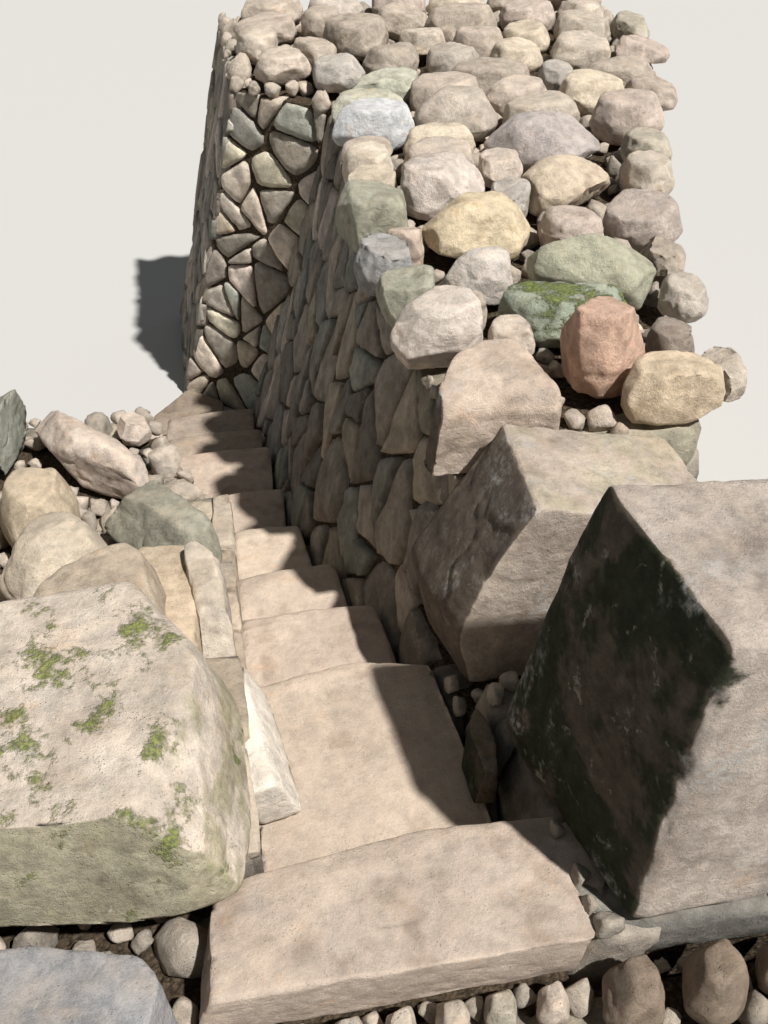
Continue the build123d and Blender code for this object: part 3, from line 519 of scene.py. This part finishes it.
# Painted shade: the left sides of the middle and small boulders are darkened, partly as brown weathering
# and partly as painted shade
BROWN_SIDE_AND_PAINTED_SHADE = ((-1.0, 0.0, -0.1), lin(82, 73, 65), 0.9, 0.4)
GREEN_TOP = ((0.1, 0.0, 0.5), lit(188, 180, 150), 0.5, 2.6)
TREAD = stone_material("tread_stone", mottle=3.5, contrast=0.13, dust=0.2, pits=0.6, bump=0.7,
                       grain=0.65)
BOULDER = stone_material("boulder_stone", mottle=5.0, contrast=0.2, dust=0.3, pits=0.6, bump=0.9)
GREAT = stone_material("great_boulder_stone", mottle=5.0, contrast=0.22, dust=0.3, pits=0.7, bump=0.9,
                       stains_and_painted_shade=(GREEN_FRONT, GREEN_BEVEL))
MOSSY_AND_PAINTED_SHADE = stone_material("mossy_painted_shade_boulder_stone", mottle=4.0, contrast=0.26, dust=0.25, pits=0.4,
                       streaks=0.75, stains_and_painted_shade=(DARK_SIDE_AND_PAINTED_SHADE, DARK_MOSS_AND_PAINTED_SHADE))
BROWN_AND_PAINTED_SHADE = stone_material("brown_painted_shade_boulder_stone", mottle=4.0, contrast=0.24, dust=0.25, pits=0.4,
                       streaks=0.6, stains_and_painted_shade=(BROWN_SIDE_AND_PAINTED_SHADE,))
GREENISH = stone_material("greenish_boulder_stone", mottle=4.0, contrast=0.24, dust=0.25, pits=0.4,
                          streaks=0.6, stains_and_painted_shade=(BROWN_SIDE_AND_PAINTED_SHADE, GREEN_TOP))
COPING = stone_material("coping_stone", mottle=9.0, contrast=0.16, dust=0.2, pits=0.6, bump=1.1)
WALL = stone_material("wall_stone", mottle=7.0, contrast=0.26, dust=0.15, pits=0.6)


def earth_material():
    """Packed earth and crushed stone between the wall stones."""
    s = Shader("wall_hearting")
    coords = s.node("TexCoord").outputs["Object"]
    lumps = s.noise(coords, 55.0, 8.0, 0.7)
    crumbs = s.voronoi(coords, 70.0)
    colour = s.mix(s.span(lumps, 0.3, 0.7), lin(42, 35, 27), lin(98, 84, 68))
    colour = s.mix(s.span(crumbs, 0.1, 0.5, 0.3, 0.0), colour, lin(140, 124, 104))
    s.put(s.bsdf.inputs["Base Color"], colour)
    s.put(s.bsdf.inputs["Roughness"], s.span(lumps, 0.2, 0.8, 1.0, 0.88))
    s.bsdf.inputs["Specular IOR Level"].default_value = EARTH_SPECULAR
    s.relief(s.math("ADD", lumps, s.math("MULTIPLY", crumbs, 0.6)), 0.9)
    return s.material


EARTH = earth_material()


# Treads

TREAD_TONE = lit(220, 200, 182)
TREAD_TAIL = 0.014  # how far the left end of a tread runs on into the low wall
TOP_SLAB_TAILS = (0.05, 0.10)  # and both ends of the top slab
NEAR_TREADS = 2  # meshed more finely
STEPS = 10
SEED = 11
TREAD_TONES_AND_PAINTED_SHADE = {
    "step_01_top": lit(214, 196, 180), "step_02": lit(222, 203, 184), "step_03": lit(225, 205, 187),
    "step_04": lit(231, 211, 191), "step_05": lit(229, 210, 189),
    # step_08 to step_10_bottom are darker as painted shade: the wall's shadow covers the lowest treads
    "step_08": lit(196, 178, 160), "step_09": lit(190, 174, 158), "step_10_bottom": lit(168, 152, 134),
}
rng = np.random.default_rng(SEED)
for number in range(1, STEPS + 1):
    node = [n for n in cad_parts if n.startswith(f"step_{number:02d}")][0]
    pile = Pile()
    for n, h, corners in solids_of(node):
        left_end = n[:, 0] < -0.9
        if number == 1:
            h = h + np.where(n[:, 0] > 0.5, TOP_SLAB_TAILS[1], 0.0)
            h = h + np.where(left_end, TOP_SLAB_TAILS[0], 0.0)
        elif number < STEPS:
            h = h + np.where(left_end, TREAD_TAIL, 0.0)
        look = {"tone": TREAD_TONES_AND_PAINTED_SHADE.get(node, TREAD_TONE), "spread": (0.97, 1.03), "lichen": 0.1}
        stone(pile, n, h, corners, rng, look, frequency=34 if number <= NEAR_TREADS else 16,
              power=120, rough=0.005, lump=0.09, chips=8, chip=(0.985, 0.998), faces=(2, 0.008),
              edges=(6, 0.011))
    piece(node + "_stone", pile, TREAD, [node])


# Great boulders

GREAT_EDGES, BOULDER_EDGES = (5, 0.02), (3, 0.012)
CREAM_REACH = 0.035  # how far the cream slab runs in under the great boulder on the left
BOULDERS = {  # material, grid frequency, power, depth of wear and look
    "boulder_left_large": (GREAT, 42, 150, 0.008,
                           {"tone": lit(238, 223, 206), "moss": 0.58, "lichen": 0.6}),
    "boulder_right_large": (MOSSY_AND_PAINTED_SHADE, 42, 150, 0.009,
                            {"tone": lit(212, 198, 186), "moss": 0.3, "lichen": 0.4}),
    "boulder_right_middle": (GREENISH, 32, 80, 0.010, {"tone": lit(214, 198, 182), "lichen": 0.3}),
    "boulder_right_small": (BROWN_AND_PAINTED_SHADE, 22, 50, 0.010, {"tone": lit(226, 206, 188), "lichen": 0.1}),
    "chock_stone": (MOSSY_AND_PAINTED_SHADE, 12, 30, 0.006, {"tone": lit(150, 136, 116), "moss": 0.1}),
    "cream_slab": (BOULDER, 16, 90, 0.004, {"tone": (0.83, 0.75, 0.65), "lichen": 0.1}),
    "grey_slab_left": (BOULDER, 20, 80, 0.006,
                       {"tone": lit(172, 171, 172), "moss": 0.15, "lichen": 0.3}),
}
for node, (material, frequency, power, rough, look) in BOULDERS.items():
    pile = Pile()
    edges = GREAT_EDGES if node.endswith("_large") else BOULDER_EDGES
    for n, h, corners in solids_of(node):
        if node == "cream_slab":
            h = h + np.where(n[:, 0] < -0.3, CREAM_REACH, 0.0)
        stone(pile, n, h, corners, rng, {**look, "spread": (1.0, 1.0)}, frequency=frequency,
              power=power, rough=rough, lump=0.14, chips=10, chip=(0.98, 0.998), faces=(2, 0.022),
              edges=edges)
    piece(node + "_stone", pile, material, [node])


# Stones on the left wall

LEFT_STONE_2_REACH = 0.03  # how far the second stone reaches past its solid on the left
LEFT_LOOKS = {
    "left_stone_1": {"tone": lit(220, 202, 180)},
    "left_stone_2": {"tone": lit(226, 212, 194), "lichen": 0.5},
    "left_stone_3": {"tone": lit(232, 216, 194)},
    "left_stone_4": {"tone": lit(184, 180, 162), "moss": 0.15},
    "left_stone_5": {"tone": lit(232, 212, 184)},
    "left_stone_6": {"tone": lit(236, 218, 202)},
    "left_stone_7": {"tone": lit(180, 182, 168), "lichen": 0.5},
}
for node, look in LEFT_LOOKS.items():
    pile = Pile()
    for n, h, corners in solids_of(node):
        if node == "left_stone_2":
            h = h + np.where(n[:, 0] < -0.5, LEFT_STONE_2_REACH, 0.0)
        stone(pile, n, h, corners, rng, look, frequency=18, power=40, rough=0.010, lump=0.12,
              chips=10, chip=(0.92, 0.98), faces=(1, 0.1), edges=(1, 0.03))
    piece(node + "_rough", pile, BOULDER, [node])


# Coping and packing stones, with the colours of the ones that stand out

FADE, FADE_COLOUR, FADE_LIFT = 0.28, (214, 200, 184), 20
NEAR_COPING = -1.3  # coping on the viewer's side of this is meshed more finely
SPECIAL_REACH = 0.09  # how near a stone's middle lies to the place given for its look


def weathered(red, green, blue):
    """A stone colour that has faded a little towards the dust around it."""
    return lit(*((1 - FADE) * c + FADE * d + FADE_LIFT
                 for c, d in zip((red, green, blue), FADE_COLOUR)))


COPING_LOOKS = [  # where the middle of a stone lies, and its look
    ((1.41, -3.09), {"tone": lit(238, 200, 176), "lichen": 0.1}),
    ((1.71, -2.99), {"tone": weathered(150, 136, 124)}),
    ((0.92, -2.84), {"tone": lit(244, 230, 216)}),
    ((0.85, -2.57), {"tone": weathered(164, 166, 144), "moss": 0.2}),
    ((0.80, -2.30), {"tone": weathered(156, 158, 160)}),
    ((0.94, -2.09), {"tone": lit(242, 220, 202)}),
    ((0.82, -1.87), {"tone": weathered(158, 160, 138), "moss": 0.2}),
    ((1.55, -3.30), {"tone": lit(244, 222, 192)}),
    ((1.40, -2.73), {"tone": lit(198, 206, 184), "moss": 0.82}),
    ((1.17, -2.415), {"tone": lit(250, 238, 226), "lichen": 0.0}),
    ((1.55, -2.48), {"tone": weathered(176, 178, 150), "moss": 0.2}),
    ((1.25, -2.04), {"tone": lit(248, 228, 194)}),
    ((1.95, -2.06), {"tone": weathered(192, 176, 166)}),
    ((1.18, -1.63), {"tone": lit(242, 228, 216)}),
    ((1.73, -1.63), {"tone": lit(248, 228, 202), "lichen": 0.1}),
    ((0.88, -1.29), {"tone": weathered(240, 224, 200)}),
    ((0.99, -0.78), {"tone": lit(250, 250, 250), "lichen": 0.0}),
    ((1.42, -0.71), {"tone": weathered(214, 200, 184)}),
    ((1.80, -1.10), {"tone": weathered(190, 180, 178)}),
    ((1.00, -0.44), {"tone": weathered(204, 206, 184), "moss": 0.4}),
    ((1.15, -0.16), {"tone": weathered(198, 202, 180), "moss": 0.4}),
]
PALETTE = [weathered(*c) for c in (
    (224, 206, 188), (206, 192, 174), (230, 214, 194), (196, 180, 162), (214, 202, 188), (204, 186, 170),
    (188, 180, 160), (234, 216, 188), (196, 190, 182), (214, 194, 180), (178, 164, 148), (206, 200, 180),
)]
for node in sorted(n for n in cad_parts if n.startswith("coping")):
    pile = Pile()
    for n, h, corners in solids_of(node):
        middle = corners.mean(axis=0)
        look = {"tone": PALETTE[rng.integers(len(PALETTE))], "lichen": rng.uniform(0, 0.5)}
        for (x, y), special in COPING_LOOKS:
            if math.hypot(middle[0] - x, middle[1] - y) < SPECIAL_REACH:
                look = special
        frequency = 14 if middle[1] < NEAR_COPING else 9
        stone(pile, n, h, corners, rng, look, frequency=frequency, power=rng.uniform(60, 180),
              rough=0.008, lump=0.08, chips=7, chip=(0.9, 0.985), faces=(1, 0.14), edges=(2, 0.016))
    piece(node + "_rough", pile, COPING, [node])

# The packing rubble is darker than the cobbles: partly brown stone and partly painted shade for the
# shadow that lies over it
RUBBLE_TONES_AND_PAINTED_SHADE = [lit(140, 124, 108), lit(164, 146, 128)]
for node, tones in (("packing_cobbles", PALETTE), ("packing_rubble", RUBBLE_TONES_AND_PAINTED_SHADE)):
    pile = Pile()
    for n, h, corners in solids_of(node):
        look = {"tone": tones[rng.integers(len(tones))], "lichen": 0.1}
        stone(pile, n, h, corners, rng, look, frequency=9, power=14, rough=0.005, lump=0.06,
              chips=8, chip=(0.93, 0.985), faces=(1, 0.12))
    piece(node + "_rough", pile, COPING, [node])


# Dry-stone walls: stones fitted on the facing stones of the CAD walls, over a dark core

WALL_NODES = sorted(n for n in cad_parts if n.startswith(
    ("retaining_wall", "return_wall", "far_wall", "left_wall", "rear_footing")))
DEEP_JOINT, SHALLOW_JOINT, TOP_JOINT = 0.045, 0.03, 0.03
CAD_JOINT, CAD_SET_BACK = 0.026, 0.02
TIGHT_GAP = 0.004
LEVEL = 0.7  # faces whose normal rises more than this are tops, and the others sides
SMALLEST_FACE, SMALLEST_STONE = 0.02, 0.05
THINNEST, THICKEST = 0.09, 0.22
PROBE = 0.03  # how far in front of a face it is tested for another solid
STRAIGHT, TOO_SHORT = 0.03, 0.003  # outline corners that turn less, or sides that are shorter, go
SAME_FACING, FACING_SLACK, LABEL_ROUNDS = 0.999, 0.002, 60
LEANING, TOP_LEANING = 0.05, 0.11  # how unevenly the fronts and tops of facing stones lean
LEAST_ROOM = 0.012  # a stone's centre lies at least this far inside its planes
COBBLE_AREA, SHOWN_AREA, PLAIN_AREA = 0.06, 0.085, 0.12  # about how large a facing stone may be
COBBLE_POWER, STONE_POWER = (7, 12), (16, 40)
COBBLE_PALE = 1.7  # how much lighter the cobbles are
SHOWN_GRID, PLAIN_GRID = 5, 3
WALL_TONES = [lit(*c) for c in (
    (176, 166, 154), (190, 178, 164), (162, 154, 142), (202, 188, 172), (180, 176, 164), (168, 158, 146),
    (186, 178, 158), (154, 150, 142), (198, 184, 164), (208, 194, 182), (170, 170, 158), (150, 142, 130),
)]
TREAD_BOXES = [tuple(np.array(c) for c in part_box(n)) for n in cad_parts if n.startswith("step")]
hulls = {}
for node in WALL_NODES:
    points, triangles, normals = node_triangles(node)
    n, h, sizes = plane_set(points, triangles, normals)
    inside = (points @ n.T <= h + ON_FACE).all(axis=0)
    hulls[node] = (n[inside], h[inside], sizes[inside])


def covered(point, own):
    """Whether a point lies inside another wall solid, or well under a tread."""
    if any(node != own and (n @ point < h - 0.005).all() for node, (n, h, _) in hulls.items()):
        return True
    return any((low[:2] < point[:2]).all() and (point[:2] < high[:2]).all() and point[2] < low[2] - 0.1
               for low, high in TREAD_BOXES)


def facing_basis(normal):
    """Level and rising directions on a wall face."""
    level = np.cross((0, 0, 1), normal)
    level /= np.linalg.norm(level)
    return level, np.cross(normal, level)


def ordered(flat):
    """The corners of a convex outline in order, without the ones that lie on a straight side."""
    middle = flat.mean(axis=0)
    corners = list(flat[np.argsort(np.arctan2(flat[:, 1] - middle[1], flat[:, 0] - middle[0]))])
    k = 0
    while k < len(corners) and len(corners) > 2:
        before, after = corners[k] - corners[k - 1], corners[(k + 1) % len(corners)] - corners[k]
        turn = before[0] * after[1] - before[1] * after[0]
        length = np.linalg.norm(before)
        if turn < STRAIGHT * length * np.linalg.norm(after) or length < TOO_SHORT:
            del corners[k]
            k = 0
        else:
            k += 1
    return np.array(corners)


def facing_outlines(node, normal, offset):
    """Outlines of the facing stones on one side of a CAD wall, on its level and rising directions."""
    points, triangles, normals = node_triangles(node)
    unit = normals / np.maximum(np.linalg.norm(normals, axis=1), 1e-12)[:, None]
    behind = offset - points[triangles[:, 0]] @ normal
    facing = (unit @ normal > SAME_FACING) & (behind > -FACING_SLACK) & (behind < CAD_SET_BACK)
    triangles = triangles[facing]
    label = np.arange(len(points))
    for _ in range(LABEL_ROUNDS):
        low = label[triangles].min(axis=1)
        for column in range(3):
            np.minimum.at(label, triangles[:, column], low)
    axes = np.stack(facing_basis(normal), axis=1)
    groups = [points[np.unique(triangles[label[triangles[:, 0]] == part])] @ axes
              for part in np.unique(label[triangles[:, 0]])]
    return [outline for outline in map(ordered, groups) if len(outline) > 2]


def ways_out(outline):
    """The outward direction of each side of an outline."""
    sides = np.roll(outline, -1, axis=0) - outline
    return np.stack([sides[:, 1], -sides[:, 0]], axis=1) / np.linalg.norm(sides, axis=1)[:, None]


def moved_sides(outline, reach):
    """An outline whose sides are all moved outward."""
    outward = ways_out(outline)
    offsets = (outward * outline).sum(axis=1) + reach
    return np.array([np.linalg.solve(outward[[k - 1, k]], offsets[[k - 1, k]])
                     for k in range(len(outline))])


def cut_outline(outline, point, direction):
    """The part of an outline that lies behind a line."""
    past = (outline - point) @ direction
    kept = []
    for k in range(len(outline)):
        after = (k + 1) % len(outline)
        if past[k] <= 0:
            kept.append(outline[k])
        if past[k] * past[after] < 0:
            kept.append(outline[k] + (outline[after] - outline[k]) * past[k] / (past[k] - past[after]))
    return np.array(kept)


def broken(outline, limit, rng):
    """An outline broken into smaller ones, down to about the area asked for."""
    after = np.roll(outline, -1, axis=0)
    area = abs((outline[:, 0] * after[:, 1] - outline[:, 1] * after[:, 0]).sum()) / 2
    if area < limit * rng.uniform(0.5, 2.0):
        return [outline]
    middle = outline.mean(axis=0)
    long_way = np.linalg.svd(outline - middle, full_matrices=False)[2][0]
    half = np.abs((outline - middle) @ long_way).max()
    turn = rng.normal(0, 0.3)
    direction = np.array([
        long_way[0] * math.cos(turn) - long_way[1] * math.sin(turn),
        long_way[0] * math.sin(turn) + long_way[1] * math.cos(turn),
    ])
    point = middle + long_way * half * rng.uniform(-0.3, 0.3)
    pieces = []
    for way in (direction, -direction):
        part = cut_outline(outline, point, way)
        if len(part) > 2:
            pieces += broken(part, limit, rng)
    return pieces


def split_at_neighbours(outline, node, normal, offset):
    """An outline split at the height of each neighbouring wall that covers its lower part."""
    level, rising = facing_basis(normal)
    pieces = [outline]
    for other, (n, h, _) in hulls.items():
        top = float(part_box(other)[1][2])
        line = (top - normal[2] * offset) / rising[2]
        parts = []
        for flat in pieces:
            under = level * flat[:, 0].mean() + rising * (line - 0.05) + normal * (offset + PROBE)
            crosses = flat[:, 1].min() + 0.04 < line < flat[:, 1].max() - 0.04
            if other == node or not crosses or (n @ under > h).any():
                parts.append(flat)
                continue
            for way in (1.0, -1.0):
                parts.append(cut_outline(flat, np.array([0.0, line]), np.array([0.0, way])))
        pieces = [flat for flat in parts if len(flat) > 2]
    return pieces


def wall_stone(pile, node, normal, offset, outline, round_power, frequency, rng, deep, pale):
    """Add one facing stone behind an outline of its wall face, unless other solids hide it.

    Deep stones have the CAD's joints around them. Pale makes the cobbles lighter.
    """
    n_all, h_all, _ = hulls[node]
    axes = np.stack(facing_basis(normal), axis=1)
    middle = outline.mean(axis=0)
    size = np.ptp(outline, axis=0).min()
    if size < SMALLEST_STONE:
        return
    thick = np.clip(size * 0.8, THINNEST, THICKEST)
    point = axes @ middle + normal * offset
    probes = (middle, *(0.3 * middle + 0.7 * outline))
    if all(covered(axes @ place + normal * (offset + PROBE), node) for place in probes):
        return
    normals, offsets = [], []
    for corner, way in zip(outline, ways_out(outline)):
        side = axes @ way + normal * rng.uniform(0.0, 0.08)
        side /= np.linalg.norm(side)
        normals.append(side)
        offsets.append(side @ (axes @ corner + normal * offset) - TIGHT_GAP)
    lean = normal + axes @ rng.normal(0, LEANING, 2)
    lean /= np.linalg.norm(lean)
    recess = rng.uniform(0.002, 0.016) if deep else rng.uniform(0.001, 0.004)
    normals += [lean, -normal, normal]
    offsets += [lean @ (point - normal * recess), -normal @ (point - normal * thick), offset - 0.001]
    for k in range(len(n_all)):
        if n_all[k][2] > LEVEL:
            top = n_all[k] + rng.normal(0, TOP_LEANING, 3) * (1, 1, 0)
            top /= np.linalg.norm(top)
            normals.append(top)
            rise = h_all[k] - n_all[k] @ point - rng.uniform(0.005, 0.03)
            offsets.append(top @ (point + n_all[k] * rise))
        if n_all[k] @ normal < 0.99:
            normals.append(n_all[k])
            offsets.append(h_all[k] - 0.002)
    normals, offsets = np.array(normals), np.array(offsets)
    front = outline @ axes.T + normal * offset
    corners = np.vstack([front, front - normal * thick])
    slack = (normals @ corners.T - offsets[:, None]).max(axis=0)
    corners = corners - np.outer(np.clip(slack, 0, None), normal)
    for centre in (point - normal * thick / 2, corners.mean(axis=0)):
        if (offsets - normals @ centre).min() > LEAST_ROOM:
            break
    else:
        return
    look = {"tone": WALL_TONES[rng.integers(len(WALL_TONES))], "spread": (0.8 * pale, 1.2 * pale),
            "lichen": rng.uniform(0, 0.5), "moss": rng.choice([0, 0, 0, 0, 0.12])}
    stone(pile, normals, offsets, corners, rng, look, frequency=frequency, rough=0.005, lump=0.07,
          power=rng.uniform(*round_power), chips=7, chip=(0.9, 0.98), faces=(1, 0.05), centre=centre)


def core(node, set_back):
    """The dark core of a wall: the solid with its faces set back by the depth of their joints."""
    n, h, _ = hulls[node]
    h = h - np.array([set_back.get(k, 0.0) for k in range(len(n))])
    found = []
    for a in range(len(n)):
        for b in range(a + 1, len(n)):
            for c in range(b + 1, len(n)):
                m = np.array([n[a], n[b], n[c]])
                if abs(np.linalg.det(m)) < 1e-4:
                    continue
                p = np.linalg.solve(m, np.array([h[a], h[b], h[c]]))
                if (n @ p <= h + 1e-5).all():
                    found.append(p)
    keys = np.unique(np.round(np.array(found), 5), axis=0)
    faces = []
    for k in range(len(n)):
        on = np.where(np.abs(keys @ n[k] - h[k]) < 2e-4)[0]
        if len(on) < 3:
            continue
        centre = keys[on].mean(axis=0)
        a = keys[on[0]] - centre
        a /= np.linalg.norm(a)
        b = np.cross(n[k], a)
        angle = np.arctan2((keys[on] - centre) @ b, (keys[on] - centre) @ a)
        faces.append([int(i) for i in on[np.argsort(angle)]])
    mesh = bpy.data.meshes.new(node + "_core")
    mesh.from_pydata([tuple(p) for p in keys], [], faces)
    mesh.materials.append(EARTH)
    made = bpy.data.objects.new(node + "_core", mesh)
    scene.collection.objects.link(made)
    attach(made, "root")


def dress(node):
    """Replace a CAD wall by its core and the stones that face it."""
    n, h, sizes = hulls[node]
    pile = Pile()
    set_back = {}
    for k in range(len(n)):
        if abs(n[k][2]) > LEVEL or sizes[k] < SMALLEST_FACE:
            continue
        outlines = facing_outlines(node, n[k], h[k])
        deep = len(outlines) > 1
        if deep:
            outlines = [moved_sides(outline, CAD_JOINT / 2) for outline in outlines]
        else:
            outlines = [flat for outline in outlines
                        for flat in split_at_neighbours(outline, node, n[k], h[k])]
        shown = n[k][0] > 0.5 if node.startswith("left") else n[k][0] < -0.3
        cobbled = node == "return_wall" and n[k][1] < -0.5
        limit = COBBLE_AREA if cobbled else SHOWN_AREA if shown else PLAIN_AREA
        round_power, pale = (COBBLE_POWER, COBBLE_PALE) if cobbled else (STONE_POWER, 1.0)
        frequency = SHOWN_GRID if shown else PLAIN_GRID
        before = pile.count
        for outline in outlines:
            for part in broken(outline, limit, rng):
                wall_stone(pile, node, n[k], h[k], part, round_power, frequency, rng, deep, pale)
        if pile.count > before:
            set_back[k] = DEEP_JOINT if deep else SHALLOW_JOINT
    set_back[int(np.argmax(n[:, 2]))] = TOP_JOINT
    core(node, set_back)
    piece(node + "_stones", pile, WALL, [node])


for node in WALL_NODES:
    dress(node)
for node in ("rubble_bed_upper", "rubble_bed_lower"):
    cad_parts[node].data.materials.clear()
    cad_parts[node].data.materials.append(EARTH)


# Small stones packed into the gaps between the coping stones and on top of the low wall

HEARTING_TONES = [weathered(*c) for c in (
    (196, 180, 162), (176, 164, 148), (210, 194, 176), (158, 148, 134),
)]
TOP_NODES = ("coping", "left_stone", "boulder", "packing", "grey_slab", "chock", "cream", "step")
SMALLEST_ROOM, LARGEST_ROOM = 0.027, 0.1
OVER_EDGE, TUCKED, CROWDED = 0.02, 0.012, 0.85  # how small stones meet edges, stones and each other
TEST_RISE = 0.03
CUBE = np.array([(x, y, z) for x in (-1, 1) for y in (-1, 1) for z in (-1, 1)])
EDGED, EDGED_X = ("left_wall_2", "left_wall_3", "left_wall_4"), -0.06  # kept free for the edge stones
TRIES = {
    "retaining_wall_3": 900, "retaining_wall_4": 1500, "return_wall": 1500, "far_wall": 700,
    "left_wall_2": 500, "left_wall_3": 500, "left_wall_4": 500, "left_wall_5": 700,
    "retaining_wall_1": 1500, "retaining_wall_2": 700, "rear_footing": 1500, "left_wall_1": 300,
}


def top_stones():
    """The planes and places of all solids that stand on the walls."""
    standing = []
    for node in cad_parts:
        if node.startswith(TOP_NODES):
            for n, h, corners in solids_of(node):
                standing.append((n, h, corners.mean(axis=0), np.ptp(corners, axis=0).max()))
    return standing


def fill_gaps(node, tries, standing, rng):
    """Fill the gaps on top of one wall with small stones."""
    n, h, _ = hulls[node]
    low, high = (np.array(c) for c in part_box(node))
    pile = Pile()
    placed = []
    for _ in range(tries):
        point = np.array([rng.uniform(low[0], high[0]), rng.uniform(low[1], high[1]), high[2]])
        if node in EDGED and point[0] > EDGED_X:
            continue
        sides = np.abs(n[:, 2]) < LEVEL
        room = min((h - n @ point)[sides].min() + OVER_EDGE, LARGEST_ROOM)
        for m, g, middle, size in standing:
            if room > SMALLEST_ROOM and np.abs(middle[:2] - point[:2]).max() < size:
                room = min(room, (m @ (point + (0, 0, TEST_RISE)) - g).max() + TUCKED)
        for spot, reach in placed:
            if room > SMALLEST_ROOM:
                room = min(room, np.linalg.norm(spot[:2] - point[:2]) - reach * CROWDED)
        if room < SMALLEST_ROOM:
            continue
        placed.append((point, room))
        m = rng.normal(size=(9, 3))
        turned = np.linalg.qr(rng.normal(size=(3, 3)))[0]
        m = np.vstack([m / np.linalg.norm(m, axis=1)[:, None], turned, -turned])
        centre = point + (0, 0, room * rng.uniform(-0.2, 0.3))
        g = m @ centre + room * np.append(rng.uniform(0.6, 1.0, 9), rng.uniform(0.7, 1.1, 6))
        m = np.vstack([m, n[sides]])
        g = np.append(g, h[sides] - 0.002)
        corners = centre + room * CUBE
        look = {"tone": HEARTING_TONES[rng.integers(len(HEARTING_TONES))], "lichen": 0.1}
        stone(pile, m, g, corners, rng, look, frequency=3, power=rng.uniform(12, 40), rough=0.003,
              lump=0.05, centre=centre)
    if pile.count:
        piece(node + "_hearting", pile, COPING)


standing = top_stones()
for node, tries in TRIES.items():
    fill_gaps(node, tries, standing, rng)


# Flat stones along the edge of the low wall, where it meets the treads

def edge_stone(pile, low, high, frequency, rng, look, power=(25, 60)):
    """Add one stone that fills a box, with uneven sides."""
    low, high = np.array(low), np.array(high)
    normals = np.vstack([np.eye(3), -np.eye(3)])
    offsets = np.append(high, -low)
    corners = np.where(CUBE > 0, high, low)
    stone(pile, normals, offsets, corners, rng, look, frequency=frequency, rough=0.005, lump=0.07,
          power=rng.uniform(*power), chips=8, chip=(0.88, 0.98), faces=(1, 0.1), edges=(1, 0.02))


EDGE_TONES = [lit(*c) for c in ((220, 202, 182), (210, 192, 172), (226, 210, 190), (198, 182, 162))]
EDGE_DEPTH, EDGE_GAP = 0.09, 0.004
BIG_EDGE_STONE = (-0.29, -3.70, 1.47), (0.01, -3.07, 1.86)  # rises above the others
for node, inner in (("left_wall_2", -0.05), ("left_wall_3", -0.02), ("left_wall_4", 0.0)):
    low, high = (np.array(c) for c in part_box(node))
    pile = Pile()
    y = low[1] + 0.005
    while y < high[1] - 0.05:
        length = min(rng.uniform(0.2, 0.4), high[1] - y)
        look = {"tone": EDGE_TONES[rng.integers(len(EDGE_TONES))], "lichen": 0.1}
        near_corner = (inner - rng.uniform(0, 0.05), y, high[2] - EDGE_DEPTH)
        far_corner = (high[0] - 0.001, y + length - EDGE_GAP, high[2] + rng.uniform(0.0, 0.02))
        edge_stone(pile, near_corner, far_corner, 8, rng, look)
        y += length
    if node == "left_wall_3":
        edge_stone(pile, *BIG_EDGE_STONE, 20, rng,
                   {"tone": lit(230, 208, 180), "spread": (1, 1), "lichen": 0.2}, (9, 12))
    piece(node + "_edge", pile, BOULDER)


# Camera, light and floor

CAMERA_PLACE, CAMERA_PITCH, CAMERA_TURN = (0.15, -5.95, 4.223), 50, -10
CAMERA_LENS, CAMERA_SENSOR = 36.39, 36.0
SUN_STRENGTH, SUN_SPREAD, SUN_COLOUR, SUN_WAY = 5.5, 1.6, (1.0, 0.982, 0.95), (-0.40, 0.50, -1.0)
SKY_STRENGTH, SKY_COLOUR = 0.15, (0.9, 0.95, 1.0, 1.0)
FLOOR_SIZE, FLOOR_COLOUR = 80, (0.5, 0.49, 0.47, 1.0)

camera_data = bpy.data.cameras.new("camera")
camera_data.lens = CAMERA_LENS
camera_data.sensor_width = CAMERA_SENSOR
camera = bpy.data.objects.new("camera", camera_data)
scene.collection.objects.link(camera)
camera.location = CAMERA_PLACE
camera.rotation_euler = (math.radians(CAMERA_PITCH), 0, math.radians(CAMERA_TURN))
scene.camera = camera

sun = bpy.data.lights.new("key", "SUN")
sun.energy = SUN_STRENGTH
sun.angle = math.radians(SUN_SPREAD)
sun.color = SUN_COLOUR
sun_object = bpy.data.objects.new("key", sun)
scene.collection.objects.link(sun_object)
sun_object.rotation_euler = Vector(SUN_WAY).to_track_quat("-Z", "Y").to_euler()

world = bpy.data.worlds.new("studio")
scene.world = world
world.use_nodes = True
world.node_tree.nodes["Background"].inputs[0].default_value = SKY_COLOUR
world.node_tree.nodes["Background"].inputs[1].default_value = SKY_STRENGTH

bpy.ops.mesh.primitive_plane_add(size=FLOOR_SIZE, location=(0, 0, 0))
floor = bpy.context.object
floor.name = "floor"
paint = Shader("floor_paint")
paint.bsdf.inputs["Roughness"].default_value = 0.9
paint.put(paint.bsdf.inputs["Base Color"], FLOOR_COLOUR)
floor.data.materials.append(paint.material)

scene.view_settings.view_transform = "Standard"
